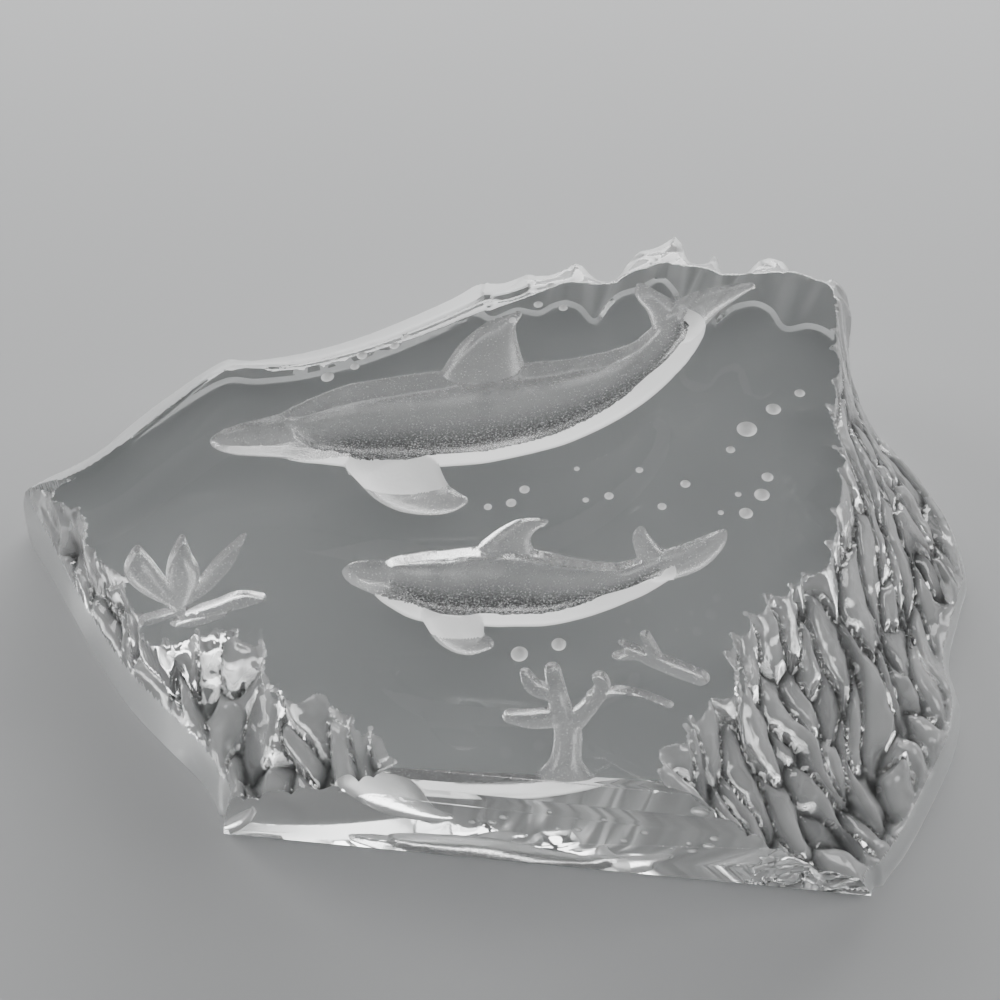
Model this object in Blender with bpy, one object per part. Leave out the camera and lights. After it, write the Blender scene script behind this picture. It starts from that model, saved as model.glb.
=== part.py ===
"""Cast glass paperweight: a clear slab with two dolphins pressed into its upper face.

The slab lies on its polished face, with its ground base edge towards -Y. The origin is the
middle of the underside. Plan places are shares of the slab's length (x) and depth (y), measured
from its middle, and a dolphin's own stations are shares of its length, measured from its nose.
"""

import math
import random

import bmesh
import bpy
import numpy as np
from mathutils.geometry import delaunay_2d_cdt

MM = 0.001

# Driving dimensions of the slab
SLAB_LENGTH = 190 * MM
SLAB_DEPTH = 127 * MM
LEFT_THICKNESS = 21.5 * MM
RIGHT_THICKNESS = 38.0 * MM
BASE_LEAN = math.radians(5.3)
FOOT_CHAMFER = 0.9 * MM
RIM_GROOVE = 0.4 * MM
RIM_GROOVE_INSET = 5 * MM
RIM_GROOVE_WIDTH = 1.4 * MM
LUMP_RISE = 3.8 * MM
LUMP_PITCH = 7.6 * MM
LUMP_FADE = 3 * MM
ROCK_MARGIN = 3 * MM

# Units of the tables below, which follow the slab's size
RIM_UNIT = RIGHT_THICKNESS / 38
PLAN_UNIT = SLAB_LENGTH / 190

# Driving dimensions of the carving
BIG_DOLPHIN_LENGTH = 97 * MM
BIG_DOLPHIN_GIRTH = 25 * MM
SMALL_DOLPHIN_LENGTH = 54 * MM
SMALL_DOLPHIN_GIRTH = 16.4 * MM
BELLY_BAND = 4.6 * MM
CORAL_HEIGHT = 20 * MM
PLANT_HEIGHT = 17 * MM
TWIG_DEPTH = 1.8 * MM
BUBBLE_DEPTH_SHARE = 0.3

# Shape of the walls, the shoulders and the grooves
WALL_CURVE = 1.8
SMOOTH_SHOULDER_CURVE = 1.4
ROUGH_SHOULDER_CURVE = 1.35
GROOVE_CURVE = 2.4
TWIG_STEEPNESS = 1.5
LEAST_RADIUS = 0.2 * MM

# The lumps of the broken shoulders: least and greatest length over width, how far a lump reaches in
# pitches, how round it is and how far it sinks, and the bends that it follows
LUMP_STRETCH = (1.5, 4.5)
LUMP_REACH = 3.2
LUMP_CURVE = 0.8
LUMP_SINK = 0.6
LUMP_BEND = 1.6 * PLAN_UNIT
LUMP_WAVE = 6 * PLAN_UNIT

# The head of a dolphin
BEAK_SHARE = 0.14
BEAK_DEPTH_SHARE = 0.5
BEAK_TO_HEAD = 0.035

# Spacing of the facets
ROCK_STEP = 1.8 * MM
CARVING_STEP = 1.9 * MM
FIELD_STEP = 9 * MM
EDGE_STEP = 2.6 * MM
WALL_BEND = 0.35
WALL_HEAD = 1.03
WALL_FOOT = 0.84

# The foot of the slab, anticlockwise from the front right, as x, y, the height of the rim in rim units,
# the run of the wall up to it in plan units and how rugged the shoulder is. The first and last rows
# run on past the base.
FOOT = (
    (0.358, -0.870, 6, 4.0, 1.0),
    (0.360, -0.530, 6, 4.0, 1.0),
    (0.375, -0.482, 6, 4.0, 1.0),
    (0.397, -0.440, 6, 4.5, 1.0),
    (0.424, -0.375, 6, 4.5, 1.0),
    (0.453, -0.295, 6, 4.5, 1.0),
    (0.467, -0.225, 6, 4.5, 1.0),
    (0.464, -0.150, 5, 3.5, 1.0),
    (0.482, -0.067, 5, 3.0, 1.0),
    (0.498, 0.004, 5, 3.0, 1.0),
    (0.493, 0.094, 5, 3.0, 1.0),
    (0.476, 0.157, 6, 3.0, 1.0),
    (0.450, 0.217, 7, 3.0, 1.0),
    (0.416, 0.283, 10, 3.5, 1.0),
    (0.392, 0.330, 19, 4.0, 0.7),
    (0.383, 0.372, 28, 3.5, 0.5),
    (0.364, 0.408, 32, 3.0, 0.4),
    (0.343, 0.420, 33, 2.5, 0.4),
    (0.318, 0.412, 32, 2.5, 0.2),
    (0.305, 0.452, 32, 2.5, 0.2),
    (0.286, 0.470, 32, 2.5, 0.2),
    (0.262, 0.460, 32, 2.5, 0.2),
    (0.246, 0.436, 31, 2.5, 0.2),
    (0.238, 0.422, 31, 2.5, 0.2),
    (0.233, 0.462, 31, 2.5, 0.2),
    (0.221, 0.483, 31, 2.5, 0.2),
    (0.210, 0.474, 31, 2.5, 0.2),
    (0.201, 0.452, 31, 2.5, 0.2),
    (0.195, 0.490, 31, 2.5, 0.2),
    (0.176, 0.524, 31, 2.5, 0.2),
    (0.150, 0.498, 30, 2.5, 0.2),
    (0.127, 0.480, 30, 2.5, 0.2),
    (0.113, 0.450, 29, 2.5, 0.2),
    (0.100, 0.413, 29, 2.5, 0.2),
    (0.084, 0.443, 29, 2.5, 0.2),
    (0.065, 0.456, 29, 2.5, 0.3),
    (0.048, 0.446, 28, 2.5, 0.3),
    (0.033, 0.428, 28, 2.5, 0.2),
    (0.007, 0.433, 27, 2.5, 0.1),
    (-0.017, 0.410, 27, 2.5, 0.1),
    (-0.032, 0.416, 26, 2.5, 0.0),
    (-0.050, 0.407, 26, 2.5, 0.0),
    (-0.077, 0.376, 25, 2.5, 0.0),
    (-0.128, 0.324, 24, 2.5, 0.0),
    (-0.174, 0.285, 23, 2.5, 0.0),
    (-0.226, 0.254, 22, 2.5, 0.0),
    (-0.276, 0.238, 21, 2.5, 0.0),
    (-0.318, 0.230, 20.5, 2.5, 0.0),
    (-0.381, 0.124, 19, 2.5, 0.0),
    (-0.424, 0.035, 18, 3.0, 0.0),
    (-0.478, -0.004, 16, 5.0, 0.1),
    (-0.501, -0.031, 15, 5.0, 0.3),
    (-0.490, -0.067, 15, 5.0, 0.5),
    (-0.454, -0.126, 15, 5.0, 0.8),
    (-0.417, -0.189, 15, 5.0, 1.0),
    (-0.375, -0.260, 15, 5.0, 1.0),
    (-0.328, -0.331, 15, 5.0, 1.0),
    (-0.281, -0.386, 15, 5.0, 1.0),
    (-0.238, -0.433, 15, 5.0, 1.0),
    (-0.216, -0.472, 15, 5.0, 1.0),
    (-0.205, -0.520, 15, 5.0, 1.0),
    (-0.195, -0.870, 15, 5.0, 1.0),
)

# The edge of the flat carved field, in the same order
FIELD = (
    (0.163, -0.870),
    (0.168, -0.480),
    (0.184, -0.425),
    (0.195, -0.386),
    (0.221, -0.370),
    (0.229, -0.330),
    (0.221, -0.299),
    (0.247, -0.236),
    (0.279, -0.205),
    (0.305, -0.150),
    (0.326, -0.024),
    (0.326, 0.102),
    (0.337, 0.252),
    (0.342, 0.346),
    (0.300, 0.394),
    (0.232, 0.390),
    (0.160, 0.420),
    (0.105, 0.370),
    (0.063, 0.372),
    (-0.011, 0.315),
    (-0.111, 0.228),
    (-0.211, 0.175),
    (-0.295, 0.165),
    (-0.353, 0.047),
    (-0.400, -0.039),
    (-0.426, -0.094),
    (-0.384, -0.134),
    (-0.368, -0.185),
    (-0.321, -0.236),
    (-0.274, -0.331),
    (-0.232, -0.315),
    (-0.184, -0.323),
    (-0.158, -0.394),
    (-0.116, -0.402),
    (-0.074, -0.441),
    (-0.050, -0.480),
    (-0.047, -0.870),
)

# Directions in degrees that the lumps run in, at places over the slab
LUMP_RUNS = (
    (0.44, 0.10, -65), (0.48, -0.02, -70), (0.40, -0.10, -70), (0.32, -0.14, -80),
    (0.26, -0.25, -65), (0.38, -0.26, -75), (0.24, -0.36, -65), (0.29, -0.34, -75),
    (0.25, -0.42, -75), (0.32, -0.39, -15), (0.27, -0.48, -30), (0.34, -0.48, -15),
    (0.38, -0.37, -60), (-0.42, -0.16, -50), (-0.34, -0.24, -45), (-0.26, -0.34, -50),
    (-0.21, -0.36, -75), (-0.14, -0.43, -85), (0.28, 0.44, 35), (0.15, 0.46, 40),
)

# Half width of a dolphin's body along its spine, as a share of its greatest half width
BODY_PROFILE = (
    (0.00, 0.14),
    (0.02, 0.25),
    (0.05, 0.34),
    (0.10, 0.41),
    (0.14, 0.48),
    (0.19, 0.66),
    (0.27, 0.86),
    (0.38, 0.96),
    (0.50, 1.00),
    (0.62, 0.90),
    (0.74, 0.70),
    (0.86, 0.48),
    (1.00, 0.36),
)

# A dolphin's spine as x, y, and its fins as x, y and half width, all as shares of its length
BIG_DOLPHIN = {
    "nose": (-0.273, 0.019),
    "spine": (
        (0.000, 0.000), (0.130, 0.019), (0.263, 0.050), (0.450, 0.073),
        (0.620, 0.108), (0.740, 0.160), (0.830, 0.230), (0.880, 0.305), (0.892, 0.350),
    ),
    "fins": {
        "dorsal": ((0.500, 0.130, 0.100), (0.500, 0.230, 0.070), (0.512, 0.295, 0.043),
                   (0.528, 0.330, 0.024), (0.552, 0.357, 0.009)),
        "flipper": ((0.340, -0.020, 0.085), (0.385, -0.090, 0.066), (0.430, -0.125, 0.043),
                    (0.466, -0.136, 0.027), (0.492, -0.134, 0.012)),
        "far_fluke": ((0.880, 0.330, 0.050), (0.850, 0.380, 0.032), (0.818, 0.420, 0.022),
                      (0.806, 0.448, 0.010)),
        "near_fluke": ((0.885, 0.340, 0.050), (0.930, 0.390, 0.040), (0.985, 0.425, 0.024),
                       (1.030, 0.448, 0.010)),
    },
}
SMALL_DOLPHIN = {
    "nose": (-0.113, -0.206),
    "spine": (
        (0.000, 0.000), (0.140, -0.022), (0.300, -0.042), (0.480, -0.030),
        (0.660, -0.038), (0.840, -0.010), (0.960, 0.050),
    ),
    "fins": {
        "dorsal": ((0.480, 0.060, 0.100), (0.500, 0.140, 0.058), (0.540, 0.190, 0.034),
                   (0.600, 0.213, 0.010)),
        "flipper": ((0.340, -0.110, 0.100), (0.370, -0.190, 0.075), (0.410, -0.235, 0.045),
                    (0.460, -0.240, 0.022)),
        "far_fluke": ((0.960, 0.055, 0.055), (0.925, 0.110, 0.038), (0.902, 0.165, 0.024),
                      (0.905, 0.195, 0.010)),
        "near_fluke": ((0.985, 0.060, 0.055), (1.060, 0.095, 0.052), (1.125, 0.150, 0.034),
                       (1.155, 0.190, 0.012)),
    },
}

# Coral and leaves are tapered grooves, as x, y and half width, all as shares of the plant's height
CORAL_FOOT = (0.090, -0.478)
CORAL = (
    ((0.00, -0.10, 0.230), (0.00, 0.10, 0.120), (0.00, 0.35, 0.100), (-0.08, 0.60, 0.080),
     (-0.15, 0.88, 0.060)),
    ((-0.05, 0.48, 0.085), (-0.25, 0.45, 0.085), (-0.44, 0.46, 0.060)),
    ((-0.12, 0.66, 0.070), (-0.28, 0.72, 0.070), (-0.36, 0.84, 0.040)),
    ((0.02, 0.42, 0.090), (0.15, 0.58, 0.070), (0.24, 0.74, 0.060), (0.22, 0.82, 0.060)),
    ((0.18, 0.66, 0.060), (0.36, 0.72, 0.040), (0.55, 0.70, 0.030), (0.75, 0.62, 0.030)),
    ((0.98, 0.86, 0.070), (0.75, 0.95, 0.075), (0.52, 1.05, 0.060), (0.38, 1.14, 0.030)),
    ((0.66, 0.98, 0.060), (0.56, 1.22, 0.040)),
    ((0.52, 1.05, 0.060), (0.34, 1.02, 0.035)),
)
PLANT_FOOT = (-0.262, -0.268)
PLANT = (
    ((0.02, -0.05, 0.060), (-0.02, 0.30, 0.170), (-0.12, 0.55, 0.120), (-0.18, 0.82, 0.030)),
    ((0.00, 0.00, 0.050), (-0.30, 0.22, 0.130), (-0.52, 0.42, 0.150), (-0.62, 0.66, 0.040)),
    ((0.05, 0.00, 0.050), (0.20, 0.20, 0.090), (0.34, 0.50, 0.110), (0.48, 0.86, 0.030)),
    ((0.08, -0.10, 0.050), (0.40, 0.00, 0.080), (0.62, 0.08, 0.110), (0.84, 0.12, 0.050)),
    ((0.05, -0.20, 0.050), (0.25, -0.16, 0.080), (0.48, -0.08, 0.060)),
    ((-0.30, -0.20, 0.070), (-0.10, -0.12, 0.070), (0.05, -0.05, 0.060)),
)

# Streams of bubbles, each bubble as x, y and its diameter in plan units
BUBBLES = (
    ((0.041, 0.364, 1.9), (0.030, 0.317, 1.9), (0.057, 0.309, 1.8), (0.004, 0.285, 1.5)),
    ((-0.107, 0.246, 2.1), (-0.117, 0.222, 2.0), (-0.133, 0.222, 1.8), (-0.149, 0.199, 2.1),
     (-0.154, 0.175, 1.8), (-0.180, 0.152, 2.6)),
    ((0.293, 0.128, 1.9), (0.267, 0.096, 2.7), (0.241, 0.057, 3.6), (0.225, 0.018, 1.6),
     (0.257, -0.030, 2.0), (0.251, -0.061, 2.6), (0.236, -0.093, 2.3), (0.230, -0.061, 1.1),
     (0.214, -0.093, 1.0)),
    ((0.183, -0.045, 1.7), (0.162, -0.085, 1.5), (0.141, -0.022, 1.3), (0.114, -0.069, 1.6),
     (0.093, -0.077, 1.1), (0.083, -0.022, 1.0), (0.036, -0.061, 1.8), (0.025, -0.085, 1.8),
     (0.004, -0.093, 1.4)),
    ((0.046, -0.321, 2.7), (0.078, -0.305, 2.3)),
)


def on_slab(x, y):
    """Plan place of a share of the slab's length and depth."""
    return np.array((x * SLAB_LENGTH, y * SLAB_DEPTH))


def smooth_path(rows, count):
    """Catmull-Rom curve through the rows, with count points to each stretch."""
    rows = np.asarray(rows, float)
    padded = np.vstack((2 * rows[0] - rows[1], rows, 2 * rows[-1] - rows[-2]))
    points = []
    for a, b, c, d in zip(padded, padded[1:], padded[2:], padded[3:]):
        for t in np.arange(count) / count:
            points.append(
                b + 0.5 * t * (c - a + t * (2 * a - 5 * b + 4 * c - d + t * (3 * (b - c) + d - a)))
            )
    points.append(rows[-1])
    return np.array(points)


def smoothstep(low, high, value):
    t = np.clip((value - low) / (high - low), 0, 1)
    return t * t * (3 - 2 * t)


def field_height(x):
    """Height of the flat carved field, which rises evenly from left to right."""
    return LEFT_THICKNESS + (RIGHT_THICKNESS - LEFT_THICKNESS) * (x / SLAB_LENGTH + 0.5)


def foot_rows(count):
    rows = [(*on_slab(x, y), rim * RIM_UNIT, run * PLAN_UNIT, rugged) for x, y, rim, run, rugged in FOOT]
    return smooth_path(rows, count)


def field_rows(count):
    return smooth_path([on_slab(x, y) for x, y in FIELD], count)


def distance_to_line(points, line):
    """Distance of each point to an open polyline, and the place along it as a row number."""
    nearest = np.full(len(points), np.inf)
    where = np.zeros(len(points))
    for i, (a, b) in enumerate(zip(line[:-1], line[1:])):
        run = b - a
        t = np.clip((points - a) @ run / (run @ run), 0, 1)
        distance = np.linalg.norm(points - a - t[:, None] * run, axis=1)
        closer = distance < nearest
        nearest[closer] = distance[closer]
        where[closer] = i + t[closer]
    return nearest, where


def inside(points, loop):
    """Which points lie inside the closed loop, by crossings of a ray towards +X."""
    x, y = points[:, 0], points[:, 1]
    odd = np.zeros(len(points), bool)
    for (ax, ay), (bx, by) in zip(loop, np.roll(loop, -1, axis=0)):
        if ay == by:
            continue
        crosses = (ay > y) != (by > y)
        odd ^= crosses & (x < ax + (y - ay) * (bx - ax) / (by - ay))
    return odd


class Sweep:
    """A tapered groove that follows a smooth line, as overlapping discs of changing radius."""

    def __init__(self, rows, count, depth_share):
        path = smooth_path(rows, count)
        self.centres = path[:, :2]
        self.radii = np.maximum(path[:, 2], LEAST_RADIUS)
        self.depth_share = depth_share

    def nearest(self, points):
        """For each point its nearest disc and its distance from that centre as a share of the radius."""
        share = np.full(len(points), np.inf)
        disc = np.zeros(len(points), int)
        for i, (centre, radius) in enumerate(zip(self.centres, self.radii)):
            distance = np.hypot(*(points - centre).T) / radius
            closer = distance < share
            share[closer] = distance[closer]
            disc[closer] = i
        return share, disc

    def depth(self, points):
        """A steep-walled bowl across the groove."""
        share, disc = self.nearest(points)
        return self.depth_share * self.radii[disc] * (1 - np.clip(share, 0, 1) ** GROOVE_CURVE) ** 0.5

    def outline(self, step, share=1):
        """The edge of all the discs, drawn in to a share of their radii, as points a step apart."""
        radii = self.radii * share
        tangent = np.gradient(self.centres, axis=0)
        length = np.hypot(*tangent.T)
        tangent /= length[:, None]
        slope = np.clip(np.gradient(radii) / length, -0.95, 0.95)
        normal = np.column_stack((-tangent[:, 1], tangent[:, 0]))
        back = self.centres - tangent * (radii * slope)[:, None]
        out = normal * (radii * np.sqrt(1 - slope**2))[:, None]
        left, right = back + out, (back - out)[::-1]
        far = self.cap(-1, radii[-1], left[-1], right[0])
        near = self.cap(0, radii[0], right[-1], left[0])
        return spaced(np.vstack((left, far, right, near)), step)

    def cap(self, end, radius, start, stop):
        """Round end of the groove between two edge points."""
        centre = self.centres[end]
        first = math.atan2(*(start - centre)[::-1])
        turn = (first - math.atan2(*(stop - centre)[::-1])) % (2 * math.pi)
        angles = first - turn * np.array((0.25, 0.5, 0.75))
        return centre + radius * np.column_stack((np.cos(angles), np.sin(angles)))


def spaced(loop, step):
    """Points a step apart along a closed loop."""
    closed = np.vstack((loop, loop[:1]))
    lengths = np.hypot(*np.diff(closed, axis=0).T)
    along = np.concatenate(((0,), np.cumsum(lengths)))
    count = max(8, round(along[-1] / step))
    places = np.arange(count) * along[-1] / count
    return np.column_stack([np.interp(places, along, closed[:, k]) for k in (0, 1)])


class Dolphin:
    """A dolphin pressed into the field: a long body with a flat belly slope, and four fins."""

    FIN_DEPTH = 0.42
    FLANK_DEPTH = 0.46
    BELLY_DEPTH = 0.16

    def __init__(self, shape, length, girth, band):
        nose = on_slab(*shape["nose"])
        spine = smooth_path(shape["spine"], 8)
        along = np.concatenate(((0,), np.cumsum(np.hypot(*np.diff(spine, axis=0).T))))
        along /= along[-1]
        half = np.interp(along, *zip(*BODY_PROFILE)) * girth / 2
        rows = np.column_stack((nose + spine * length, half))
        self.body = Sweep(rows, 1, 1)
        self.station = np.linspace(0, 1, len(rows))
        self.fins = [self.fin(nose, rows, length) for rows in shape["fins"].values()]
        self.band = band
        self.girth = girth

    def fin(self, nose, rows, length):
        rows = [(*(nose + np.array((x, y)) * length), half * length) for x, y, half in rows]
        return Sweep(rows, 5, self.FIN_DEPTH)

    def body_depth(self, points):
        """Depth across the body: a slope up from the crease to the belly, a deep flank and back."""
        share, disc = self.body.nearest(points)
        radii = self.body.radii[disc]
        tangent = np.gradient(self.body.centres, axis=0)
        offset = points - self.body.centres[disc]
        above = tangent[disc, 0] * offset[:, 1] - tangent[disc, 1] * offset[:, 0] > 0
        across = np.where(above, 1 + share, 1 - share) * radii
        band = np.minimum(self.band, 0.7 * radii)
        crease = self.BELLY_DEPTH * radii
        slope = crease * np.clip(across / band, 0, 1)
        flank = np.clip((across - band) / (2 * radii - band), 0, 1)
        bowl = (1 - np.abs(2 * flank - 1) ** GROOVE_CURVE) ** 0.5
        into_head = smoothstep(BEAK_SHARE, BEAK_SHARE + BEAK_TO_HEAD, self.station[disc])
        head = BEAK_DEPTH_SHARE + (1 - BEAK_DEPTH_SHARE) * into_head
        deep = crease * (1 - flank) + head * self.FLANK_DEPTH * radii * bowl
        depth = np.where(across < band, slope, deep)
        rise = smoothstep(1.0, 0.86, share)
        return np.where(share < 1, depth * rise, 0)

    def crease(self):
        """The line where the flat slope of the belly meets the deep flank."""
        tangent = np.gradient(self.body.centres, axis=0)
        tangent /= np.hypot(*tangent.T)[:, None]
        radii = self.body.radii
        inset = radii - np.minimum(self.band, 0.7 * radii)
        below = np.column_stack((tangent[:, 1], -tangent[:, 0]))
        return (self.body.centres + below * inset[:, None])[4:-4:2]

    def depth(self, points):
        return np.max([self.body_depth(points)] + [fin.depth(points) for fin in self.fins], axis=0)

    def sweeps(self):
        return [self.body, *self.fins]


def twigs(foot, shapes, height):
    """Grooves of a coral or a plant that grows from its foot."""
    foot = on_slab(*foot)
    return [
        Sweep([(*(foot + np.array((x, y)) * height), half * height) for x, y, half in rows], 5, 1)
        for rows in shapes
    ]


def lump_direction(place):
    """Direction of the lumps at a place, mostly from the nearest of the known ones."""
    turn = np.zeros(2)
    for x, y, degrees in LUMP_RUNS:
        double = 2 * math.radians(degrees)
        weight = 1 / (np.hypot(*(place - on_slab(x, y))) + MM) ** 3
        turn += weight * np.array((math.cos(double), math.sin(double)))
    return math.atan2(turn[1], turn[0]) / 2


def bent(points):
    """The points moved by slow waves, so that the lumps run in bends."""
    x, y = (points / LUMP_WAVE).T
    waves = (np.sin(1.3 * y + np.sin(2.1 * x)), np.sin(1.7 * x + np.sin(1.4 * y)))
    return points + LUMP_BEND * np.column_stack(waves)


def lumps(points):
    """Height from 0 to 1 of packed long lumps, which meet in narrow creases."""
    points = bent(points)
    chance = random.Random(7)
    first = np.full(len(points), np.inf)
    second = np.full(len(points), np.inf)
    tall = np.zeros(len(points))
    columns = int(0.55 * SLAB_LENGTH / LUMP_PITCH)
    lines = int(0.6 * SLAB_DEPTH / LUMP_PITCH)
    for column in range(-columns, columns + 1):
        for line in range(-lines, lines + 1):
            offset = (chance.uniform(-0.4, 0.4), chance.uniform(-0.4, 0.4) + column % 2 / 2)
            place = LUMP_PITCH * (np.array((column, line)) + offset)
            spread = chance.uniform(-0.4, 0.4)
            stretch = chance.uniform(*LUMP_STRETCH)
            size = chance.uniform(0.75, 1.25)
            rise = chance.uniform(0.5, 1)
            away = points - place
            near = np.flatnonzero(np.abs(away).max(axis=1) < LUMP_REACH * LUMP_PITCH)
            if not len(near):
                continue
            direction = lump_direction(place) + spread
            along = away[near] @ (math.cos(direction), math.sin(direction))
            across = away[near] @ (-math.sin(direction), math.cos(direction))
            distance = np.hypot(along / stretch, across) * math.sqrt(stretch) / size
            best = distance < first[near]
            second[near] = np.where(best, first[near], np.minimum(second[near], distance))
            tall[near[best]] = rise
            first[near[best]] = distance[best]
    return tall * (1 - (first / second) ** 2) ** LUMP_CURVE


class Slab:
    """The height of the upper surface over the whole plan."""

    def __init__(self):
        self.foot = foot_rows(6)
        self.field = field_rows(4)
        self.dolphins = (
            Dolphin(BIG_DOLPHIN, BIG_DOLPHIN_LENGTH, BIG_DOLPHIN_GIRTH, BELLY_BAND),
            Dolphin(SMALL_DOLPHIN, SMALL_DOLPHIN_LENGTH, SMALL_DOLPHIN_GIRTH, 0.7 * BELLY_BAND),
        )
        self.twigs = twigs(CORAL_FOOT, CORAL, CORAL_HEIGHT) + twigs(PLANT_FOOT, PLANT, PLANT_HEIGHT)
        self.bubbles = [(on_slab(x, y), size * PLAN_UNIT / 2) for stream in BUBBLES for x, y, size in stream]

    def place_on_shoulder(self, points):
        """Distance in from the foot, the rim there, and distance in from the edge of the field."""
        out, where = distance_to_line(points, self.foot[:, :2])
        rim, run, rugged = (np.interp(where, np.arange(len(self.foot)), self.foot[:, k]) for k in (2, 3, 4))
        into, _ = distance_to_line(points, self.field)
        return out, rim, run, rugged, np.where(inside(points, self.field), into, -into)

    def shoulder(self, points):
        """Height of the wall, the rim, the broken shoulder and the field."""
        out, rim, run, rugged, into = self.place_on_shoulder(points)
        top = field_height(points[:, 0])
        share = np.where(into > 0, 1, np.clip((out - run) / np.maximum(out - run - into, 1e-6), 0, 1))
        smooth = 1 - (1 - share) ** SMOOTH_SHOULDER_CURVE
        rough = share**ROUGH_SHOULDER_CURVE
        inset = (out - run - RIM_GROOVE_INSET) / RIM_GROOVE_WIDTH
        groove = RIM_GROOVE * np.exp(-(inset**2)) * (share < 1)
        height = rim + (top - rim) * (rugged * rough + (1 - rugged) * smooth) - groove * (1 - rugged)
        rocky = np.flatnonzero((rugged > 0.02) & (into < ROCK_MARGIN))
        dent = np.zeros(len(points))
        dent[rocky] = LUMP_RISE * (LUMP_SINK - lumps(points[rocky]))
        lift = np.maximum(into, 0) * LUMP_RISE / ROCK_MARGIN
        height = height + lift - dent * rugged * smoothstep(0, LUMP_FADE, out - 0.4 * run)
        height = np.where(into < ROCK_MARGIN, np.minimum(height, top), top)
        climb = 1 - (1 - np.clip(out / run, 0, 1)) ** WALL_CURVE
        return FOOT_CHAMFER + (height - FOOT_CHAMFER) * climb

    def depth(self, points):
        """Depth of the carving below the field."""
        depth = np.max([dolphin.depth(points) for dolphin in self.dolphins], axis=0)
        for twig in self.twigs:
            depth = np.maximum(depth, np.minimum(twig.depth(points) * TWIG_STEEPNESS, TWIG_DEPTH))
        for centre, radius in self.bubbles:
            share = np.clip(np.hypot(*(points - centre).T) / radius, 0, 1)
            depth = np.maximum(depth, 2 * BUBBLE_DEPTH_SHARE * radius * np.sqrt(1 - share**2))
        return depth

    def height(self, points):
        return np.maximum(self.shoulder(points) - self.depth(points), FOOT_CHAMFER)

    def sweeps(self):
        return [sweep for dolphin in self.dolphins for sweep in dolphin.sweeps()] + self.twigs

    def wall_loop(self, outline, share):
        """The outline moved inwards by a share of the run of the wall."""
        _, where = distance_to_line(outline, self.foot[:, :2])
        run = np.interp(where, np.arange(len(self.foot)), self.foot[:, 3])
        tangent = np.roll(outline, -1, axis=0) - np.roll(outline, 1, axis=0)
        tangent /= np.hypot(*tangent.T)[:, None]
        inward = np.column_stack((-tangent[:, 1], tangent[:, 0]))
        return outline + inward * (share * run)[:, None]


def lattice(step):
    """Points of a triangular lattice over the whole slab."""
    half_x, half_y = 0.52 * SLAB_LENGTH, 0.54 * SLAB_DEPTH
    rows = np.arange(-half_y, half_y, step * math.sqrt(0.75))
    points = []
    for i, y in enumerate(rows):
        x = np.arange(-half_x + (i % 2) * step / 2, half_x, step)
        points.append(np.column_stack((x, np.full(len(x), y))))
    return np.vstack(points)


def clear_of(points, others, gap):
    """The points that keep a gap to all the others."""
    keep = np.ones(len(points), bool)
    for other in others:
        keep &= np.abs(points - other).max(axis=1) > gap
    return points[keep]


def plan_outline(slab):
    """The foot of the slab, closed just past the plane that the base is ground to."""
    front = -0.54 * SLAB_DEPTH
    line = slab.foot[:, :2]
    line = line[line[:, 1] > front]
    ends = np.array(((line[-1, 0], front), (line[0, 0], front)))
    return spaced(np.vstack((line, ends)), EDGE_STEP)


def surface_lines(slab, outline):
    """The lines that the facets of the upper surface keep to: closed loops, then open lines."""
    loops = [outline, slab.wall_loop(outline, WALL_BEND), slab.wall_loop(outline, 1)]
    field = spaced(slab.field, ROCK_STEP)
    loops.append(field[field[:, 1] > outline[:, 1].min() + CARVING_STEP])
    loops += [sweep.outline(CARVING_STEP, WALL_HEAD) for sweep in slab.sweeps()]
    for dolphin in slab.dolphins:
        loops += [sweep.outline(CARVING_STEP, WALL_FOOT) for sweep in dolphin.sweeps()]
    for centre, radius in slab.bubbles:
        angles = np.arange(8) * math.pi / 4
        loops.append(centre + radius * np.column_stack((np.cos(angles), np.sin(angles))))
    return loops, [dolphin.crease() for dolphin in slab.dolphins]


def loose_points(slab, outline, fixed):
    """Points between the lines, closer together where the surface is rough or carved."""
    loose = [centre[None] for centre, _ in slab.bubbles]
    for step, wanted in ((ROCK_STEP, "rock"), (CARVING_STEP, "carving"), (FIELD_STEP, "field")):
        points = lattice(step)
        points = points[inside(points, outline)]
        out, _, run, rugged, into = slab.place_on_shoulder(points)
        carved = slab.depth(points) > 0
        on_field = into > np.where(rugged > 0.02, ROCK_MARGIN, 0)
        rocky = (out > run) & ~on_field & ~carved
        zone = {"rock": rocky, "carving": carved, "field": on_field & ~carved}[wanted]
        loose.append(clear_of(points[zone], fixed, 0.55 * min(step, EDGE_STEP)))
    return np.vstack(loose)


def upper_surface(slab, outline):
    """Triangles of the upper surface, with the plan outline as its first points."""
    loops, lines = surface_lines(slab, outline)
    fixed = np.vstack(loops + lines)
    loose = loose_points(slab, outline, fixed)
    edges = []
    start = 0
    for line in loops + lines:
        numbers = list(range(start, start + len(line)))
        edges += zip(numbers, numbers[1:])
        start += len(line)
        if len(edges) < sum(map(len, loops)):
            edges.append((numbers[-1], numbers[0]))
    points = [tuple(p) for p in np.vstack((fixed, loose)) / MM]
    verts, _, faces, *_ = delaunay_2d_cdt(points, edges, [], 0, 1e-4)
    plan = np.array([tuple(v) for v in verts]) * MM
    faces = np.array(faces)
    faces = faces[inside(plan[faces].mean(axis=1), outline)]
    height = slab.height(plan)
    on_edge, _ = distance_to_line(plan, np.vstack((outline, outline[:1])))
    height[on_edge < 0.01 * MM] = FOOT_CHAMFER
    return np.column_stack((plan, height)), faces


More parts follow.
